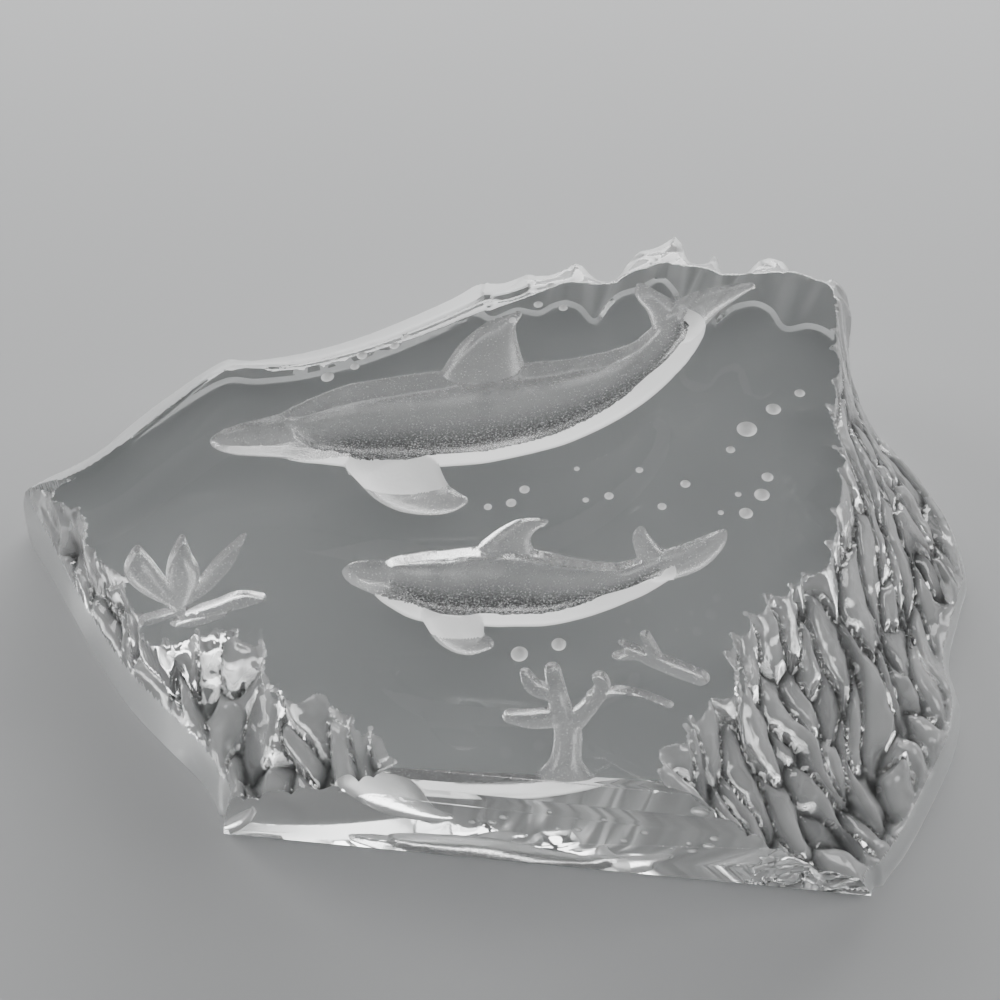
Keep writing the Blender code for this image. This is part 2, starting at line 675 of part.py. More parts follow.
def close_below(mesh):
    """Adds the foot's chamfer and the flat underside to the open edge of the upper surface."""
    rim = [edge for edge in mesh.edges if edge.is_boundary]
    made = bmesh.ops.extrude_edge_only(mesh, edges=rim)["geom"]
    lower = [v for v in made if isinstance(v, bmesh.types.BMVert)]
    loop = [e for e in made if isinstance(e, bmesh.types.BMEdge)]
    inward = {}
    for vert in lower:
        turns = [e for e in vert.link_edges if e in loop]
        ends = [e.other_vert(vert).co for e in turns]
        run = (ends[1] - ends[0]).normalized()
        inward[vert] = run.cross((0, 0, 1))
    centre = np.mean([v.co for v in lower], axis=0)
    for vert, normal in inward.items():
        if normal.dot(vert.co - type(normal)(centre)) > 0:
            normal = -normal
        vert.co += normal * FOOT_CHAMFER
        vert.co.z = 0
    bmesh.ops.edgeloop_fill(mesh, edges=loop)


def grind(mesh, place, normal):
    """Grinds the solid flat: cuts away what lies beyond the plane and closes the cut."""
    cut = bmesh.ops.bisect_plane(
        mesh, geom=mesh.verts[:] + mesh.edges[:] + mesh.faces[:], dist=1e-7,
        plane_co=place, plane_no=normal, clear_outer=True,
    )["geom_cut"]
    edges = [e for e in cut if isinstance(e, bmesh.types.BMEdge)]
    bmesh.ops.edgeloop_fill(mesh, edges=edges)


def glass(name, colour, roughness):
    material = bpy.data.materials.new(name)
    material.use_nodes = True
    shader = material.node_tree.nodes["Principled BSDF"]
    shader.inputs["Base Color"].default_value = (*colour, 1)
    shader.inputs["Roughness"].default_value = roughness
    shader.inputs["Metallic"].default_value = 0
    shader.inputs["Transmission Weight"].default_value = 1
    shader.inputs["IOR"].default_value = 1.545
    return material


def make_slab():
    slab = Slab()
    outline = plan_outline(slab)
    points, faces = upper_surface(slab, outline)
    mesh = bmesh.new()
    verts = [mesh.verts.new(p) for p in points]
    for a, b, c in faces:
        mesh.faces.new((verts[a], verts[b], verts[c]))
    loose = [v for v in mesh.verts if not v.link_faces]
    bmesh.ops.delete(mesh, geom=loose, context="VERTS")
    close_below(mesh)
    base = -0.5 * SLAB_DEPTH
    grind(mesh, (0, base, 0), (0, -math.cos(BASE_LEAN), math.sin(BASE_LEAN)))
    grind(mesh, (0, base + FOOT_CHAMFER, 0), (0, -1, -1))
    bmesh.ops.dissolve_degenerate(mesh, dist=1e-6, edges=mesh.edges)
    bmesh.ops.triangulate(mesh, faces=mesh.faces)
    bmesh.ops.recalc_face_normals(mesh, faces=mesh.faces)

    corners = np.array([v.co for v in mesh.verts])
    middle = (corners.min(axis=0) + corners.max(axis=0)) / 2
    for vert in mesh.verts:
        vert.co.x -= middle[0]
        vert.co.y -= middle[1]

    data = bpy.data.meshes.new("dolphin_paperweight")
    mesh.to_mesh(data)
    mesh.free()
    data.materials.append(glass("clear_glass", (0.95, 0.97, 0.965), 0.03))
    data.materials.append(glass("frosted_glass", (0.93, 0.95, 0.95), 0.45))
    centres = np.array([tuple(face.center) for face in data.polygons])
    up = np.array([face.normal.z for face in data.polygons])
    plan = centres[:, :2] + middle[:2]
    matt = (slab.depth(plan) > 0) & (up > 0) & (centres[:, 2] > FOOT_CHAMFER)
    for face, frosted in zip(data.polygons, matt):
        face.material_index = int(frosted)
    data.shade_smooth()
    data.set_sharp_from_angle(angle=math.radians(30))
    item = bpy.data.objects.new("dolphin_paperweight", data)
    bpy.context.scene.collection.objects.link(item)
    return item


for old in list(bpy.data.objects):
    bpy.data.objects.remove(old)
make_slab()
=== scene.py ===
"""A cast glass paperweight with two dolphins, lying on its polished face on a pale table."""

import math
import random

import bmesh
import bpy
import numpy as np
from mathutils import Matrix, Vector, kdtree
from mathutils.geometry import delaunay_2d_cdt


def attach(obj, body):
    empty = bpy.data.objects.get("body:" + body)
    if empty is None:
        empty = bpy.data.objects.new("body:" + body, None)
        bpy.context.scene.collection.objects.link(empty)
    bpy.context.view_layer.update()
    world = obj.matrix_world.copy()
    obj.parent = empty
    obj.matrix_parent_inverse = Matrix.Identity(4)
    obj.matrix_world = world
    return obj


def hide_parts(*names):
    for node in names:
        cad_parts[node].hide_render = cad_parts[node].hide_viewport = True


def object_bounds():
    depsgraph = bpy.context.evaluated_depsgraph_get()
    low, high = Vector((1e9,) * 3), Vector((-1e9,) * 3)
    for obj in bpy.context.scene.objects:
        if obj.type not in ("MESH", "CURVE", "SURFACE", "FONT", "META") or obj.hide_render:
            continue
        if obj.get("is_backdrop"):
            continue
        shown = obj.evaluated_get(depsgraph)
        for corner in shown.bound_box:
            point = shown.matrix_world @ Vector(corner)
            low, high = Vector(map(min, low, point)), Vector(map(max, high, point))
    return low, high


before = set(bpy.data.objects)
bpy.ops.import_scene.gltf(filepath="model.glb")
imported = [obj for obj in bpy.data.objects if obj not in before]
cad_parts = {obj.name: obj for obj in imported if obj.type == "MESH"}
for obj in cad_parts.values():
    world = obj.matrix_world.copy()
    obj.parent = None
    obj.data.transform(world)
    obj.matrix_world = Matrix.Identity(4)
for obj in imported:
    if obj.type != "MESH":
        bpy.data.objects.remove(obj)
cad_low, cad_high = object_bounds()


# The slab. One block of clear lead glass, pressed while hot in a carved mould. Its underside and
# its base edge are ground flat and polished; the upper field is left clear and rises to the right,
# and the edges are broken like rock and ice.

MM = 0.001
LENGTH = 190 * MM
DEPTH = 127 * MM
LEFT_THICKNESS = 21.5 * MM
RIGHT_THICKNESS = 38 * MM
BASE_LEAN = math.radians(5.3)
FOOT_CHAMFER = 0.9 * MM
RIM_GROOVE = 0.4 * MM
RIM_GROOVE_INSET = 7 * MM
RIM_GROOVE_WIDTH = 1.2 * MM
WALL_CURVE = 1.8
SMOOTH_SHOULDER_CURVE = 1.4
ROUGH_SHOULDER_CURVE = 1.35
FOOT_PARTS = 12
FIELD_PARTS = 8

# Foot of the slab anticlockwise from the front right: x, y, height of the rim in millimetres, run of
# the wall up to it and how rugged the shoulder is. x and y are shares of the length and the depth.
FOOT = (
    (0.358, -0.870, 6, 4.0, 1.0), (0.360, -0.530, 6, 4.0, 1.0), (0.375, -0.482, 6, 4.0, 1.0),
    (0.397, -0.440, 6, 4.5, 1.0), (0.424, -0.375, 6, 4.5, 1.0), (0.453, -0.295, 6, 4.5, 1.0),
    (0.467, -0.225, 6, 4.5, 1.0), (0.464, -0.150, 5, 3.5, 1.0), (0.482, -0.067, 5, 3.0, 1.0),
    (0.498, 0.004, 5, 3.0, 1.0), (0.493, 0.094, 5, 3.0, 1.0), (0.476, 0.157, 6, 3.0, 1.0),
    (0.450, 0.217, 7, 3.0, 1.0), (0.416, 0.283, 10, 3.5, 1.0), (0.392, 0.330, 19, 4.0, 0.7),
    (0.383, 0.372, 28, 3.5, 0.5), (0.364, 0.408, 32, 3.0, 0.4),
    (0.343, 0.420, 33, 2.5, 0.4), (0.318, 0.412, 32, 2.5, 0.2), (0.305, 0.452, 32, 2.5, 0.2),
    (0.286, 0.470, 32, 2.5, 0.2), (0.262, 0.460, 32, 2.5, 0.2), (0.246, 0.436, 31, 2.5, 0.2),
    (0.238, 0.422, 31, 2.5, 0.2), (0.233, 0.462, 31, 2.5, 0.2), (0.221, 0.483, 31, 2.5, 0.2),
    (0.210, 0.474, 31, 2.5, 0.2), (0.201, 0.452, 31, 2.5, 0.2), (0.195, 0.490, 31, 2.5, 0.2),
    (0.176, 0.524, 31, 2.5, 0.2), (0.150, 0.498, 30, 2.5, 0.2), (0.127, 0.480, 30, 2.5, 0.2),
    (0.113, 0.450, 29, 2.5, 0.2), (0.100, 0.413, 29, 2.5, 0.2), (0.084, 0.443, 29, 2.5, 0.2),
    (0.065, 0.456, 29, 2.5, 0.3), (0.048, 0.446, 28, 2.5, 0.3), (0.033, 0.428, 28, 2.5, 0.2),
    (0.007, 0.433, 27, 2.5, 0.1), (-0.017, 0.410, 27, 2.5, 0.1), (-0.032, 0.416, 26, 2.5, 0.0),
    (-0.050, 0.407, 26, 2.5, 0.0), (-0.077, 0.376, 25, 2.5, 0.0), (-0.128, 0.324, 24, 2.5, 0.0),
    (-0.174, 0.285, 23, 2.5, 0.0),
    (-0.226, 0.254, 22, 2.5, 0.0), (-0.276, 0.238, 21, 2.5, 0.0), (-0.318, 0.230, 20.5, 2.5, 0.0),
    (-0.381, 0.124, 19, 2.5, 0.0), (-0.424, 0.035, 18, 3.0, 0.0), (-0.478, -0.004, 16, 5.0, 0.1),
    (-0.501, -0.031, 15, 5.0, 0.3), (-0.490, -0.067, 15, 5.0, 0.5), (-0.454, -0.126, 15, 5.0, 0.8),
    (-0.417, -0.189, 15, 5.0, 1.0), (-0.375, -0.260, 15, 5.0, 1.0), (-0.328, -0.331, 15, 5.0, 1.0),
    (-0.281, -0.386, 15, 5.0, 1.0), (-0.238, -0.433, 15, 5.0, 1.0), (-0.216, -0.472, 15, 5.0, 1.0),
    (-0.205, -0.520, 15, 5.0, 1.0), (-0.195, -0.870, 15, 5.0, 1.0),
)

# Edge of the clear field, in the same shares and the same way round.
FIELD_EDGE = (
    (0.163, -0.870), (0.168, -0.480), (0.184, -0.425), (0.195, -0.386), (0.221, -0.370),
    (0.229, -0.330), (0.221, -0.299), (0.247, -0.236), (0.279, -0.205), (0.305, -0.150),
    (0.326, -0.024), (0.326, 0.102), (0.337, 0.252), (0.342, 0.346), (0.300, 0.394),
    (0.232, 0.390), (0.160, 0.420), (0.105, 0.370), (0.063, 0.372), (-0.011, 0.315),
    (-0.111, 0.228), (-0.211, 0.175), (-0.295, 0.165), (-0.353, 0.047), (-0.400, -0.039),
    (-0.426, -0.094), (-0.384, -0.134), (-0.368, -0.185), (-0.321, -0.236), (-0.274, -0.331),
    (-0.232, -0.315), (-0.184, -0.323), (-0.158, -0.394), (-0.116, -0.402), (-0.074, -0.441),
    (-0.050, -0.480), (-0.047, -0.870),
)


def on_slab(x, y):
    """Plan place of a share of the slab's length and depth."""
    return np.array((x * LENGTH, y * DEPTH))


def smooth_path(rows, count):
    """Catmull-Rom curve through the rows, with count points to each stretch."""
    rows = np.asarray(rows, float)
    padded = np.vstack((2 * rows[0] - rows[1], rows, 2 * rows[-1] - rows[-2]))
    points = []
    for a, b, c, d in zip(padded, padded[1:], padded[2:], padded[3:]):
        for t in np.arange(count) / count:
            bend = t * (2 * a - 5 * b + 4 * c - d + t * (3 * (b - c) + d - a))
            points.append(b + 0.5 * t * (c - a + bend))
    points.append(rows[-1])
    return np.array(points)


def smoothstep(low, high, value):
    """Smooth climb from 0 at low to 1 at high."""
    t = np.clip((value - low) / (high - low), 0, 1)
    return t * t * (3 - 2 * t)


def spaced(loop, step):
    """Points a step apart along a closed loop."""
    closed = np.vstack((loop, loop[:1]))
    along = np.concatenate(((0,), np.cumsum(np.hypot(*np.diff(closed, axis=0).T))))
    places = np.arange(max(8, round(along[-1] / step))) * along[-1]
    places /= len(places)
    return np.column_stack([np.interp(places, along, closed[:, k]) for k in (0, 1)])


def distance_to_line(points, line):
    """Distance of each point to a polyline, and the place along it as a row number."""
    nearest = np.full(len(points), np.inf)
    where = np.zeros(len(points))
    for i, (a, b) in enumerate(zip(line[:-1], line[1:])):
        run = b - a
        t = np.clip((points - a) @ run / (run @ run), 0, 1)
        distance = np.hypot(*(points - a - t[:, None] * run).T)
        closer = distance < nearest
        nearest[closer] = distance[closer]
        where[closer] = i + t[closer]
    return nearest, where


def inside(points, loop):
    """Which points lie inside the closed loop, by crossings of a ray towards +X."""
    x, y = points[:, 0], points[:, 1]
    odd = np.zeros(len(points), bool)
    for (ax, ay), (bx, by) in zip(loop, np.roll(loop, -1, axis=0)):
        if ay != by:
            odd ^= ((ay > y) != (by > y)) & (x < ax + (y - ay) * (bx - ax) / (by - ay))
    return odd


def field_height(x):
    """Height of the flat field, which rises evenly from left to right."""
    return LEFT_THICKNESS + (RIGHT_THICKNESS - LEFT_THICKNESS) * (x / LENGTH + 0.5)


foot_rows = [(*on_slab(x, y), rim * MM, run * MM, rough) for x, y, rim, run, rough in FOOT]
foot = smooth_path(foot_rows, FOOT_PARTS)
field_edge = smooth_path([on_slab(x, y) for x, y in FIELD_EDGE], FIELD_PARTS)


# The rocky shoulders. The mould was cut with long gouges, so the glass stands out in packed glossy
# lumps with narrow creases between them, into which shade is painted.

# Width and height of the lumps, their least and greatest length over width, how far one reaches in
# pitches, the bends that they follow, how round they are and how far they sink, and where up the wall
# they start and how they fade in. Then the margin that they take of the field, the share of it up to
# which their creases get painted shade, and the least rugged wall that has lumps.
LUMP_PITCH = 7.6 * MM
LUMP_RISE = 3.8 * MM
LUMP_STRETCH = (1.5, 4.5)
LUMP_REACH = 3.2
LUMP_BEND = 1.6 * MM
LUMP_WAVE = 6 * MM
LUMP_CURVE = 0.8
LUMP_SINK = 0.6
LUMP_START = 0.4
LUMP_FADE = 3 * MM
ROCK_MARGIN = 3 * MM
CREASE_SHADE_REACH = 0.8
LEAST_RUGGED = 0.02

# What chance gives each lump: its shift in pitches, its turn in radians, its size and its height. The
# lumps fill an area given by half its sides, as shares of the slab.
LUMP_SEED = 7
LUMP_SHIFT = (-0.4, 0.4)
LUMP_TURN = (-0.4, 0.4)
LUMP_SIZE = (0.75, 1.25)
LUMP_HEIGHT = (0.5, 1)
LUMP_AREA = (0.55, 0.6)

# Directions in degrees that the lumps run in, at places over the slab.
LUMP_RUNS = (
    (0.44, 0.10, -65), (0.48, -0.02, -70), (0.40, -0.10, -70), (0.32, -0.14, -80),
    (0.26, -0.25, -65), (0.38, -0.26, -75), (0.24, -0.36, -65), (0.29, -0.34, -75),
    (0.25, -0.42, -75), (0.32, -0.39, -15), (0.27, -0.48, -30), (0.34, -0.48, -15),
    (0.38, -0.37, -60), (-0.42, -0.16, -50), (-0.34, -0.24, -45), (-0.26, -0.34, -50),
    (-0.21, -0.36, -75), (-0.14, -0.43, -85), (0.28, 0.44, 35), (0.15, 0.46, 40),
)


def lump_direction(place):
    """Direction of the lumps at a place, from the nearest of the known ones."""
    turn = np.zeros(2)
    for x, y, degrees in LUMP_RUNS:
        double = 2 * math.radians(degrees)
        weight = 1 / (np.hypot(*(place - on_slab(x, y))) + MM) ** 3
        turn += weight * np.array((math.cos(double), math.sin(double)))
    return math.atan2(turn[1], turn[0]) / 2


def bent(points):
    """The points moved by slow waves, so that the lumps run in bends."""
    x, y = (points / LUMP_WAVE).T
    waves = (np.sin(1.3 * y + np.sin(2.1 * x)), np.sin(1.7 * x + np.sin(1.4 * y)))
    return points + LUMP_BEND * np.column_stack(waves)


def lumps(points):
    """Height from 0 to 1 of packed long lumps, which meet in narrow creases."""
    points = bent(points)
    chance = random.Random(LUMP_SEED)
    first = np.full(len(points), np.inf)
    second = np.full(len(points), np.inf)
    tall = np.zeros(len(points))
    columns = int(LUMP_AREA[0] * LENGTH / LUMP_PITCH)
    rows = int(LUMP_AREA[1] * DEPTH / LUMP_PITCH)
    for column in range(-columns, columns + 1):
        for line in range(-rows, rows + 1):
            shift = (chance.uniform(*LUMP_SHIFT), chance.uniform(*LUMP_SHIFT) + column % 2 / 2)
            place = LUMP_PITCH * (np.array((column, line)) + shift)
            turn = chance.uniform(*LUMP_TURN)
            stretch = chance.uniform(*LUMP_STRETCH)
            size = chance.uniform(*LUMP_SIZE)
            rise = chance.uniform(*LUMP_HEIGHT)
            away = points - place
            near = np.flatnonzero(np.abs(away).max(axis=1) < LUMP_REACH * LUMP_PITCH)
            if not len(near):
                continue
            direction = lump_direction(place) + turn
            along = away[near] @ (math.cos(direction), math.sin(direction))
            across = away[near] @ (-math.sin(direction), math.cos(direction))
            distance = np.hypot(along / stretch, across) * math.sqrt(stretch) / size
            best = distance < first[near]
            second[near] = np.where(best, first[near], np.minimum(second[near], distance))
            tall[near[best]] = rise
            first[near[best]] = distance[best]
    return tall * (1 - (first / second) ** 2) ** LUMP_CURVE


def place_on_shoulder(points):
    """Distance in from the foot, the rim, run and ruggedness there, and distance in from the field's edge."""
    out, where = distance_to_line(points, foot[:, :2])
    rim, run, rugged = (np.interp(where, np.arange(len(foot)), foot[:, k]) for k in (2, 3, 4))
    into, _ = distance_to_line(points, field_edge)
    return out, rim, run, rugged, np.where(inside(points, field_edge), into, -into)


def shoulder(points):
    """Height of the wall, rim, shoulder and field without the carvings, and the lump height for painted
    shade.
    """
    out, rim, run, rugged, into = place_on_shoulder(points)
    top = field_height(points[:, 0])
    share = np.where(into > 0, 1, np.clip((out - run) / np.maximum(out - run - into, 1e-6), 0, 1))
    smooth = 1 - (1 - share) ** SMOOTH_SHOULDER_CURVE
    rough = share**ROUGH_SHOULDER_CURVE
    inset = (out - run - RIM_GROOVE_INSET) / RIM_GROOVE_WIDTH
    groove = RIM_GROOVE * np.exp(-(inset**2)) * (share < 1)
    height = rim + (top - rim) * (rugged * rough + (1 - rugged) * smooth) - groove * (1 - rugged)
    rocky = np.flatnonzero((rugged > LEAST_RUGGED) & (into < ROCK_MARGIN))
    ridge = np.ones(len(points))
    ridge[rocky] = lumps(points[rocky])
    broken = rugged * smoothstep(0, LUMP_FADE, out - LUMP_START * run)
    lift = np.maximum(into, 0) * LUMP_RISE / ROCK_MARGIN
    height = height + lift - np.where(ridge < 1, LUMP_RISE * (LUMP_SINK - ridge), 0) * broken
    height = np.where(into < ROCK_MARGIN, np.minimum(height, top), top)
    climb = 1 - (1 - np.clip(out / run, 0, 1)) ** WALL_CURVE
    # Painted shade: how dark the creases between the lumps are painted. It is passed on as the ridge layer.
    crease = (1 - ridge) * broken * smoothstep(CREASE_SHADE_REACH * ROCK_MARGIN, -ROCK_MARGIN, into)
    return FOOT_CHAMFER + (height - FOOT_CHAMFER) * climb, 1 - crease


# The carvings. Each is made of grooves of changing width with a round bottom, like those that a
# wheel cuts, and all are pressed into the clear field together with the slab.

LEAST_RADIUS = 0.2 * MM
LEAST_OUTLINE_RADIUS = 0.12 * MM
GROOVE_CURVE = 2.4
GROOVE_ROUND = 0.6
STEEPEST_TAPER = 0.95
CAP_PARTS = 8


class Groove:
    """A tapered groove along a smooth line, as overlapping discs of changing radius."""

    def __init__(self, rows, count, depth_share=1):
        path = smooth_path(rows, count)
        self.centres = path[:, :2]
        self.radii = np.maximum(path[:, 2], LEAST_RADIUS)
        self.depth_share = depth_share
        self.station = np.linspace(0, 1, len(path))

    def nearest(self, points):
        """For each point its nearest disc, and its distance as a share of that disc's radius."""
        share = np.full(len(points), np.inf)
        disc = np.zeros(len(points), int)
        margin = self.radii.max() + MM
        low, high = self.centres.min(axis=0) - margin, self.centres.max(axis=0) + margin
        near = np.flatnonzero(((points > low) & (points < high)).all(axis=1))
        local = points[near]
        for i, (centre, radius) in enumerate(zip(self.centres, self.radii)):
            distance = np.hypot(*(local - centre).T) / radius
            closer = distance < share[near]
            share[near[closer]] = distance[closer]
            disc[near[closer]] = i
        return share, disc

    def depth(self, points):
        """Depth of the groove at each point, 0 outside it."""
        share, disc = self.nearest(points)
        bowl = (1 - np.clip(share, 0, 1) ** GROOVE_CURVE) ** GROOVE_ROUND
        return self.depth_share * self.radii[disc] * bowl

    def outline(self, step, grow):
        """The edge of all the discs, grown by a distance, as points a step apart."""
        radii = np.maximum(self.radii + grow, LEAST_OUTLINE_RADIUS)
        tangent = np.gradient(self.centres, axis=0)
        length = np.hypot(*tangent.T)
        tangent /= length[:, None]
        slope = np.clip(np.gradient(radii) / length, -STEEPEST_TAPER, STEEPEST_TAPER)
        normal = np.column_stack((-tangent[:, 1], tangent[:, 0]))
        back = self.centres - tangent * (radii * slope)[:, None]
        out = normal * (radii * np.sqrt(1 - slope**2))[:, None]
        left, right = back + out, (back - out)[::-1]
        far = self.cap(-1, radii[-1], left[-1], right[0])
        near = self.cap(0, radii[0], right[-1], left[0])
        return spaced(np.vstack((left, far, right, near)), step)

    def cap(self, end, radius, start, stop):
        """Round end of the groove between two edge points."""
        centre = self.centres[end]
        first = math.atan2(*(start - centre)[::-1])
        turn = (first - math.atan2(*(stop - centre)[::-1])) % (2 * math.pi)
        angles = first - turn * np.arange(1, CAP_PARTS) / CAP_PARTS
        return centre + radius * np.column_stack((np.cos(angles), np.sin(angles)))


# The dolphins. Each is a long bowl with a flat slope along its belly, and four fins; shares of its
# own length from the tip of the beak. They are frosted by sand after the slab is pressed.

# Stations along the body, and its width there as a share of the girth.
BODY_PROFILE = (
    (0.00, 0.14), (0.02, 0.25), (0.05, 0.34), (0.10, 0.41), (0.14, 0.48), (0.19, 0.66),
    (0.27, 0.86), (0.38, 0.96), (0.50, 1.00), (0.62, 0.90), (0.74, 0.70), (0.86, 0.48), (1.00, 0.36),
)

# A dolphin's nose on the slab, its length and greatest width, the width of its belly band, its spine
# as x and y, and its fins as x, y and half width.
BIG_DOLPHIN = {
    "nose": (-0.273, 0.019),
    "length": 97 * MM,
    "girth": 25 * MM,
    "band": 4.6 * MM,
    "spine": (
        (0.000, 0.000), (0.130, 0.019), (0.263, 0.050), (0.450, 0.073),
        (0.620, 0.108), (0.740, 0.160), (0.830, 0.230), (0.880, 0.305), (0.892, 0.350),
    ),
    "dorsal": ((0.500, 0.130, 0.100), (0.500, 0.230, 0.070), (0.512, 0.295, 0.043),
               (0.528, 0.330, 0.024), (0.552, 0.357, 0.009)),
    "flipper": ((0.340, -0.020, 0.085), (0.385, -0.090, 0.066), (0.430, -0.125, 0.043),
                (0.466, -0.136, 0.027), (0.492, -0.134, 0.012)),
    "far fluke": ((0.880, 0.330, 0.050), (0.850, 0.380, 0.032), (0.818, 0.420, 0.022),
                  (0.806, 0.448, 0.010)),
    "near fluke": ((0.885, 0.340, 0.050), (0.930, 0.390, 0.040), (0.985, 0.425, 0.024),
                   (1.030, 0.448, 0.010)),
}
SMALL_DOLPHIN = {
    "nose": (-0.113, -0.206),
    "length": 54 * MM,
    "girth": 16.4 * MM,
    "band": 3.2 * MM,
    "spine": (
        (0.000, 0.000), (0.140, -0.022), (0.300, -0.042), (0.480, -0.030),
        (0.660, -0.038), (0.840, -0.010), (0.960, 0.050),
    ),
    "dorsal": ((0.480, 0.060, 0.100), (0.500, 0.140, 0.058), (0.540, 0.190, 0.034),
               (0.600, 0.213, 0.010)),
    "flipper": ((0.340, -0.110, 0.100), (0.370, -0.190, 0.075), (0.410, -0.235, 0.045),
                (0.460, -0.240, 0.022)),
    "far fluke": ((0.960, 0.055, 0.055), (0.925, 0.110, 0.038), (0.902, 0.165, 0.024),
                  (0.905, 0.195, 0.010)),
    "near fluke": ((0.985, 0.060, 0.055), (1.060, 0.095, 0.052), (1.125, 0.150, 0.034),
                   (1.155, 0.190, 0.012)),
}

# Points to each stretch of the spine and the fins. Depths of fins, flanks and bellies are shares of
# the half width, and stations run from 0 at the beak to 1 at the tail.
SPINE_PARTS = 24
FIN_PARTS = 14
FIN_DEPTH = 0.42
FLANK_DEPTH = 0.46
FLANK_CURVE = 2.4
BELLY_DEPTH = 0.16
BAND_SHARE = 0.7
CREASE_ENDS = 12
BEAK_SHARE = 0.14
BEAK_DEPTH = 0.5
MOUTH_DEPTH = 0.35 * MM
MOUTH_PLACE = 0.8
MOUTH_WIDTH = 0.12
EYE_RADIUS = 0.7 * MM
EYE_STATION = 0.17
FLIPPER_ROOT = 0.9
MOST_GLOSS = 0.8
FARTHEST_SHARE = 9

# Pairs that a depth, a finish or the painted shade fades between. Starts, ends and the beak are
# stations along the body, the back and the flank are counted from the belly's edge in half widths of the
# body, edges are shares of the half width from the middle line, and tips are in belly bands.
BEAK_END = (BEAK_SHARE - 0.01, BEAK_SHARE + 0.035)
MOUTH_END = (BEAK_SHARE, 0.1)
BODY_EDGE = (1.0, 0.86)
BELLY_START = (0.15, 0.3)
SHADED_FLANK = (1.6, 0.9)
SHADED_EDGE = (0.98, 0.8)
SHADED_START = (0.1, 0.24)
GLOSSY_BACK = (1.35, 1.75)
GLOSSY_BEAK = (0.2, 0.13)
GLOSSY_TIPS = (-0.9, -1.1)


class Dolphin:
    """One dolphin, with the groove of its body, those of its fins, and its eye."""

    def __init__(self, shape):
        nose = on_slab(*shape["nose"])
        length = shape["length"]
        spine = smooth_path(shape["spine"], SPINE_PARTS)
        along = np.concatenate(((0,), np.cumsum(np.hypot(*np.diff(spine, axis=0).T))))
        half = np.interp(along / along[-1], *zip(*BODY_PROFILE)) * shape["girth"] / 2
        self.body = Groove(np.column_stack((nose + spine * length, half)), 1)
        self.fins = []
        for name in ("dorsal", "flipper", "far fluke", "near fluke"):
            rows = [(*(nose + np.array((x, y)) * length), wide * length) for x, y, wide in shape[name]]
            self.fins.append(Groove(rows, FIN_PARTS, FIN_DEPTH))
        self.band = shape["band"]
        self.eye = self.body.centres[int(EYE_STATION * len(spine))]

    def across(self, points):
        """How far each point is from the belly's edge, the body's half width there, and the share."""
        share, disc = self.body.nearest(points)
        radii = self.body.radii[disc]
        tangent = np.gradient(self.body.centres, axis=0)
        offset = points - self.body.centres[disc]
        above = tangent[disc, 0] * offset[:, 1] - tangent[disc, 1] * offset[:, 0] > 0
        across = 1 + np.where(above, 1, -1) * np.minimum(share, FARTHEST_SHARE)
        return across * radii, radii, share

    def station(self, points):
        """Place of each point along the body, from 0 at the beak to 1 at the tail."""
        return self.body.station[self.body.nearest(points)[1]]

    def body_depth(self, points):
        """Depth across the body: a slope down from the belly to a crease, then the deep flank."""
        across, radii, share = self.across(points)
        band = np.minimum(self.band, BAND_SHARE * radii)
        crease = BELLY_DEPTH * radii
        station = self.station(points)
        head = BEAK_DEPTH + (1 - BEAK_DEPTH) * smoothstep(*BEAK_END, station)
        slope = crease * np.clip(across / band, 0, 1)
        flank = np.clip((across - band) / (2 * radii - band), 0, 1)
        bowl = (1 - np.abs(2 * flank - 1) ** FLANK_CURVE) ** 0.5
        deep = crease * (1 - flank) + head * FLANK_DEPTH * radii * bowl
        mouth = np.exp(-(((across / radii - MOUTH_PLACE) / MOUTH_WIDTH) ** 2))
        deep = deep + MOUTH_DEPTH * (mouth * smoothstep(*MOUTH_END, station))
        edge = smoothstep(*BODY_EDGE, share)
        return np.where(share < 1, np.where(across < band, slope, deep) * edge, 0)

    def crease(self):
        """The line where the flat slope of the belly meets the deep flank."""
        tangent = np.gradient(self.body.centres, axis=0)
        tangent /= np.hypot(*tangent.T)[:, None]
        radii = self.body.radii
        inset = radii - np.minimum(self.band, BAND_SHARE * radii)
        below = np.column_stack((tangent[:, 1], -tangent[:, 0]))
        return (self.body.centres + below * inset[:, None])[CREASE_ENDS:-CREASE_ENDS:2]

    def depth(self, points):
        """Depth of the whole dolphin at each point, 0 outside it."""
        from_eye = np.hypot(*(points - self.eye).T) / EYE_RADIUS
        eye = EYE_RADIUS * np.sqrt(np.clip(1 - from_eye**2, 0, 1))
        return np.max([self.body_depth(points) + eye] + [fin.depth(points) for fin in self.fins], axis=0)

    def belly(self, points):
        """Where the flat belly slope and the root of the flipper lie, which frost the whitest."""
        across, radii, share = self.across(points)
        band = np.minimum(self.band, BAND_SHARE * radii)
        flipper, _ = self.fins[1].nearest(points)
        root = (flipper < 1) & (across > -FLIPPER_ROOT * self.band)
        return ((share < 1) | root) & (across < band * smoothstep(*BELLY_START, self.station(points)))

    def shade(self, points):
        """Painted shade on the body: most on the lower flank, and none on the beak, back and fins."""
        across, radii, share = self.across(points)
        flank = smoothstep(*SHADED_FLANK, across / radii) * smoothstep(*SHADED_EDGE, share)
        return flank * smoothstep(*SHADED_START, self.station(points))

    def polish(self, points):
        """How glossy the carving is: most at the beak, along the back and at the tips of the fins."""
        across, radii, share = self.across(points)
        back = smoothstep(*GLOSSY_BACK, across / radii)
        beak = smoothstep(*GLOSSY_BEAK, self.station(points))
        tip = smoothstep(GLOSSY_TIPS[0] * self.band, GLOSSY_TIPS[1] * self.band, across)
        return MOST_GLOSS * np.max((back * (share < 1), beak, tip), axis=0)


dolphins = (Dolphin(BIG_DOLPHIN), Dolphin(SMALL_DOLPHIN))


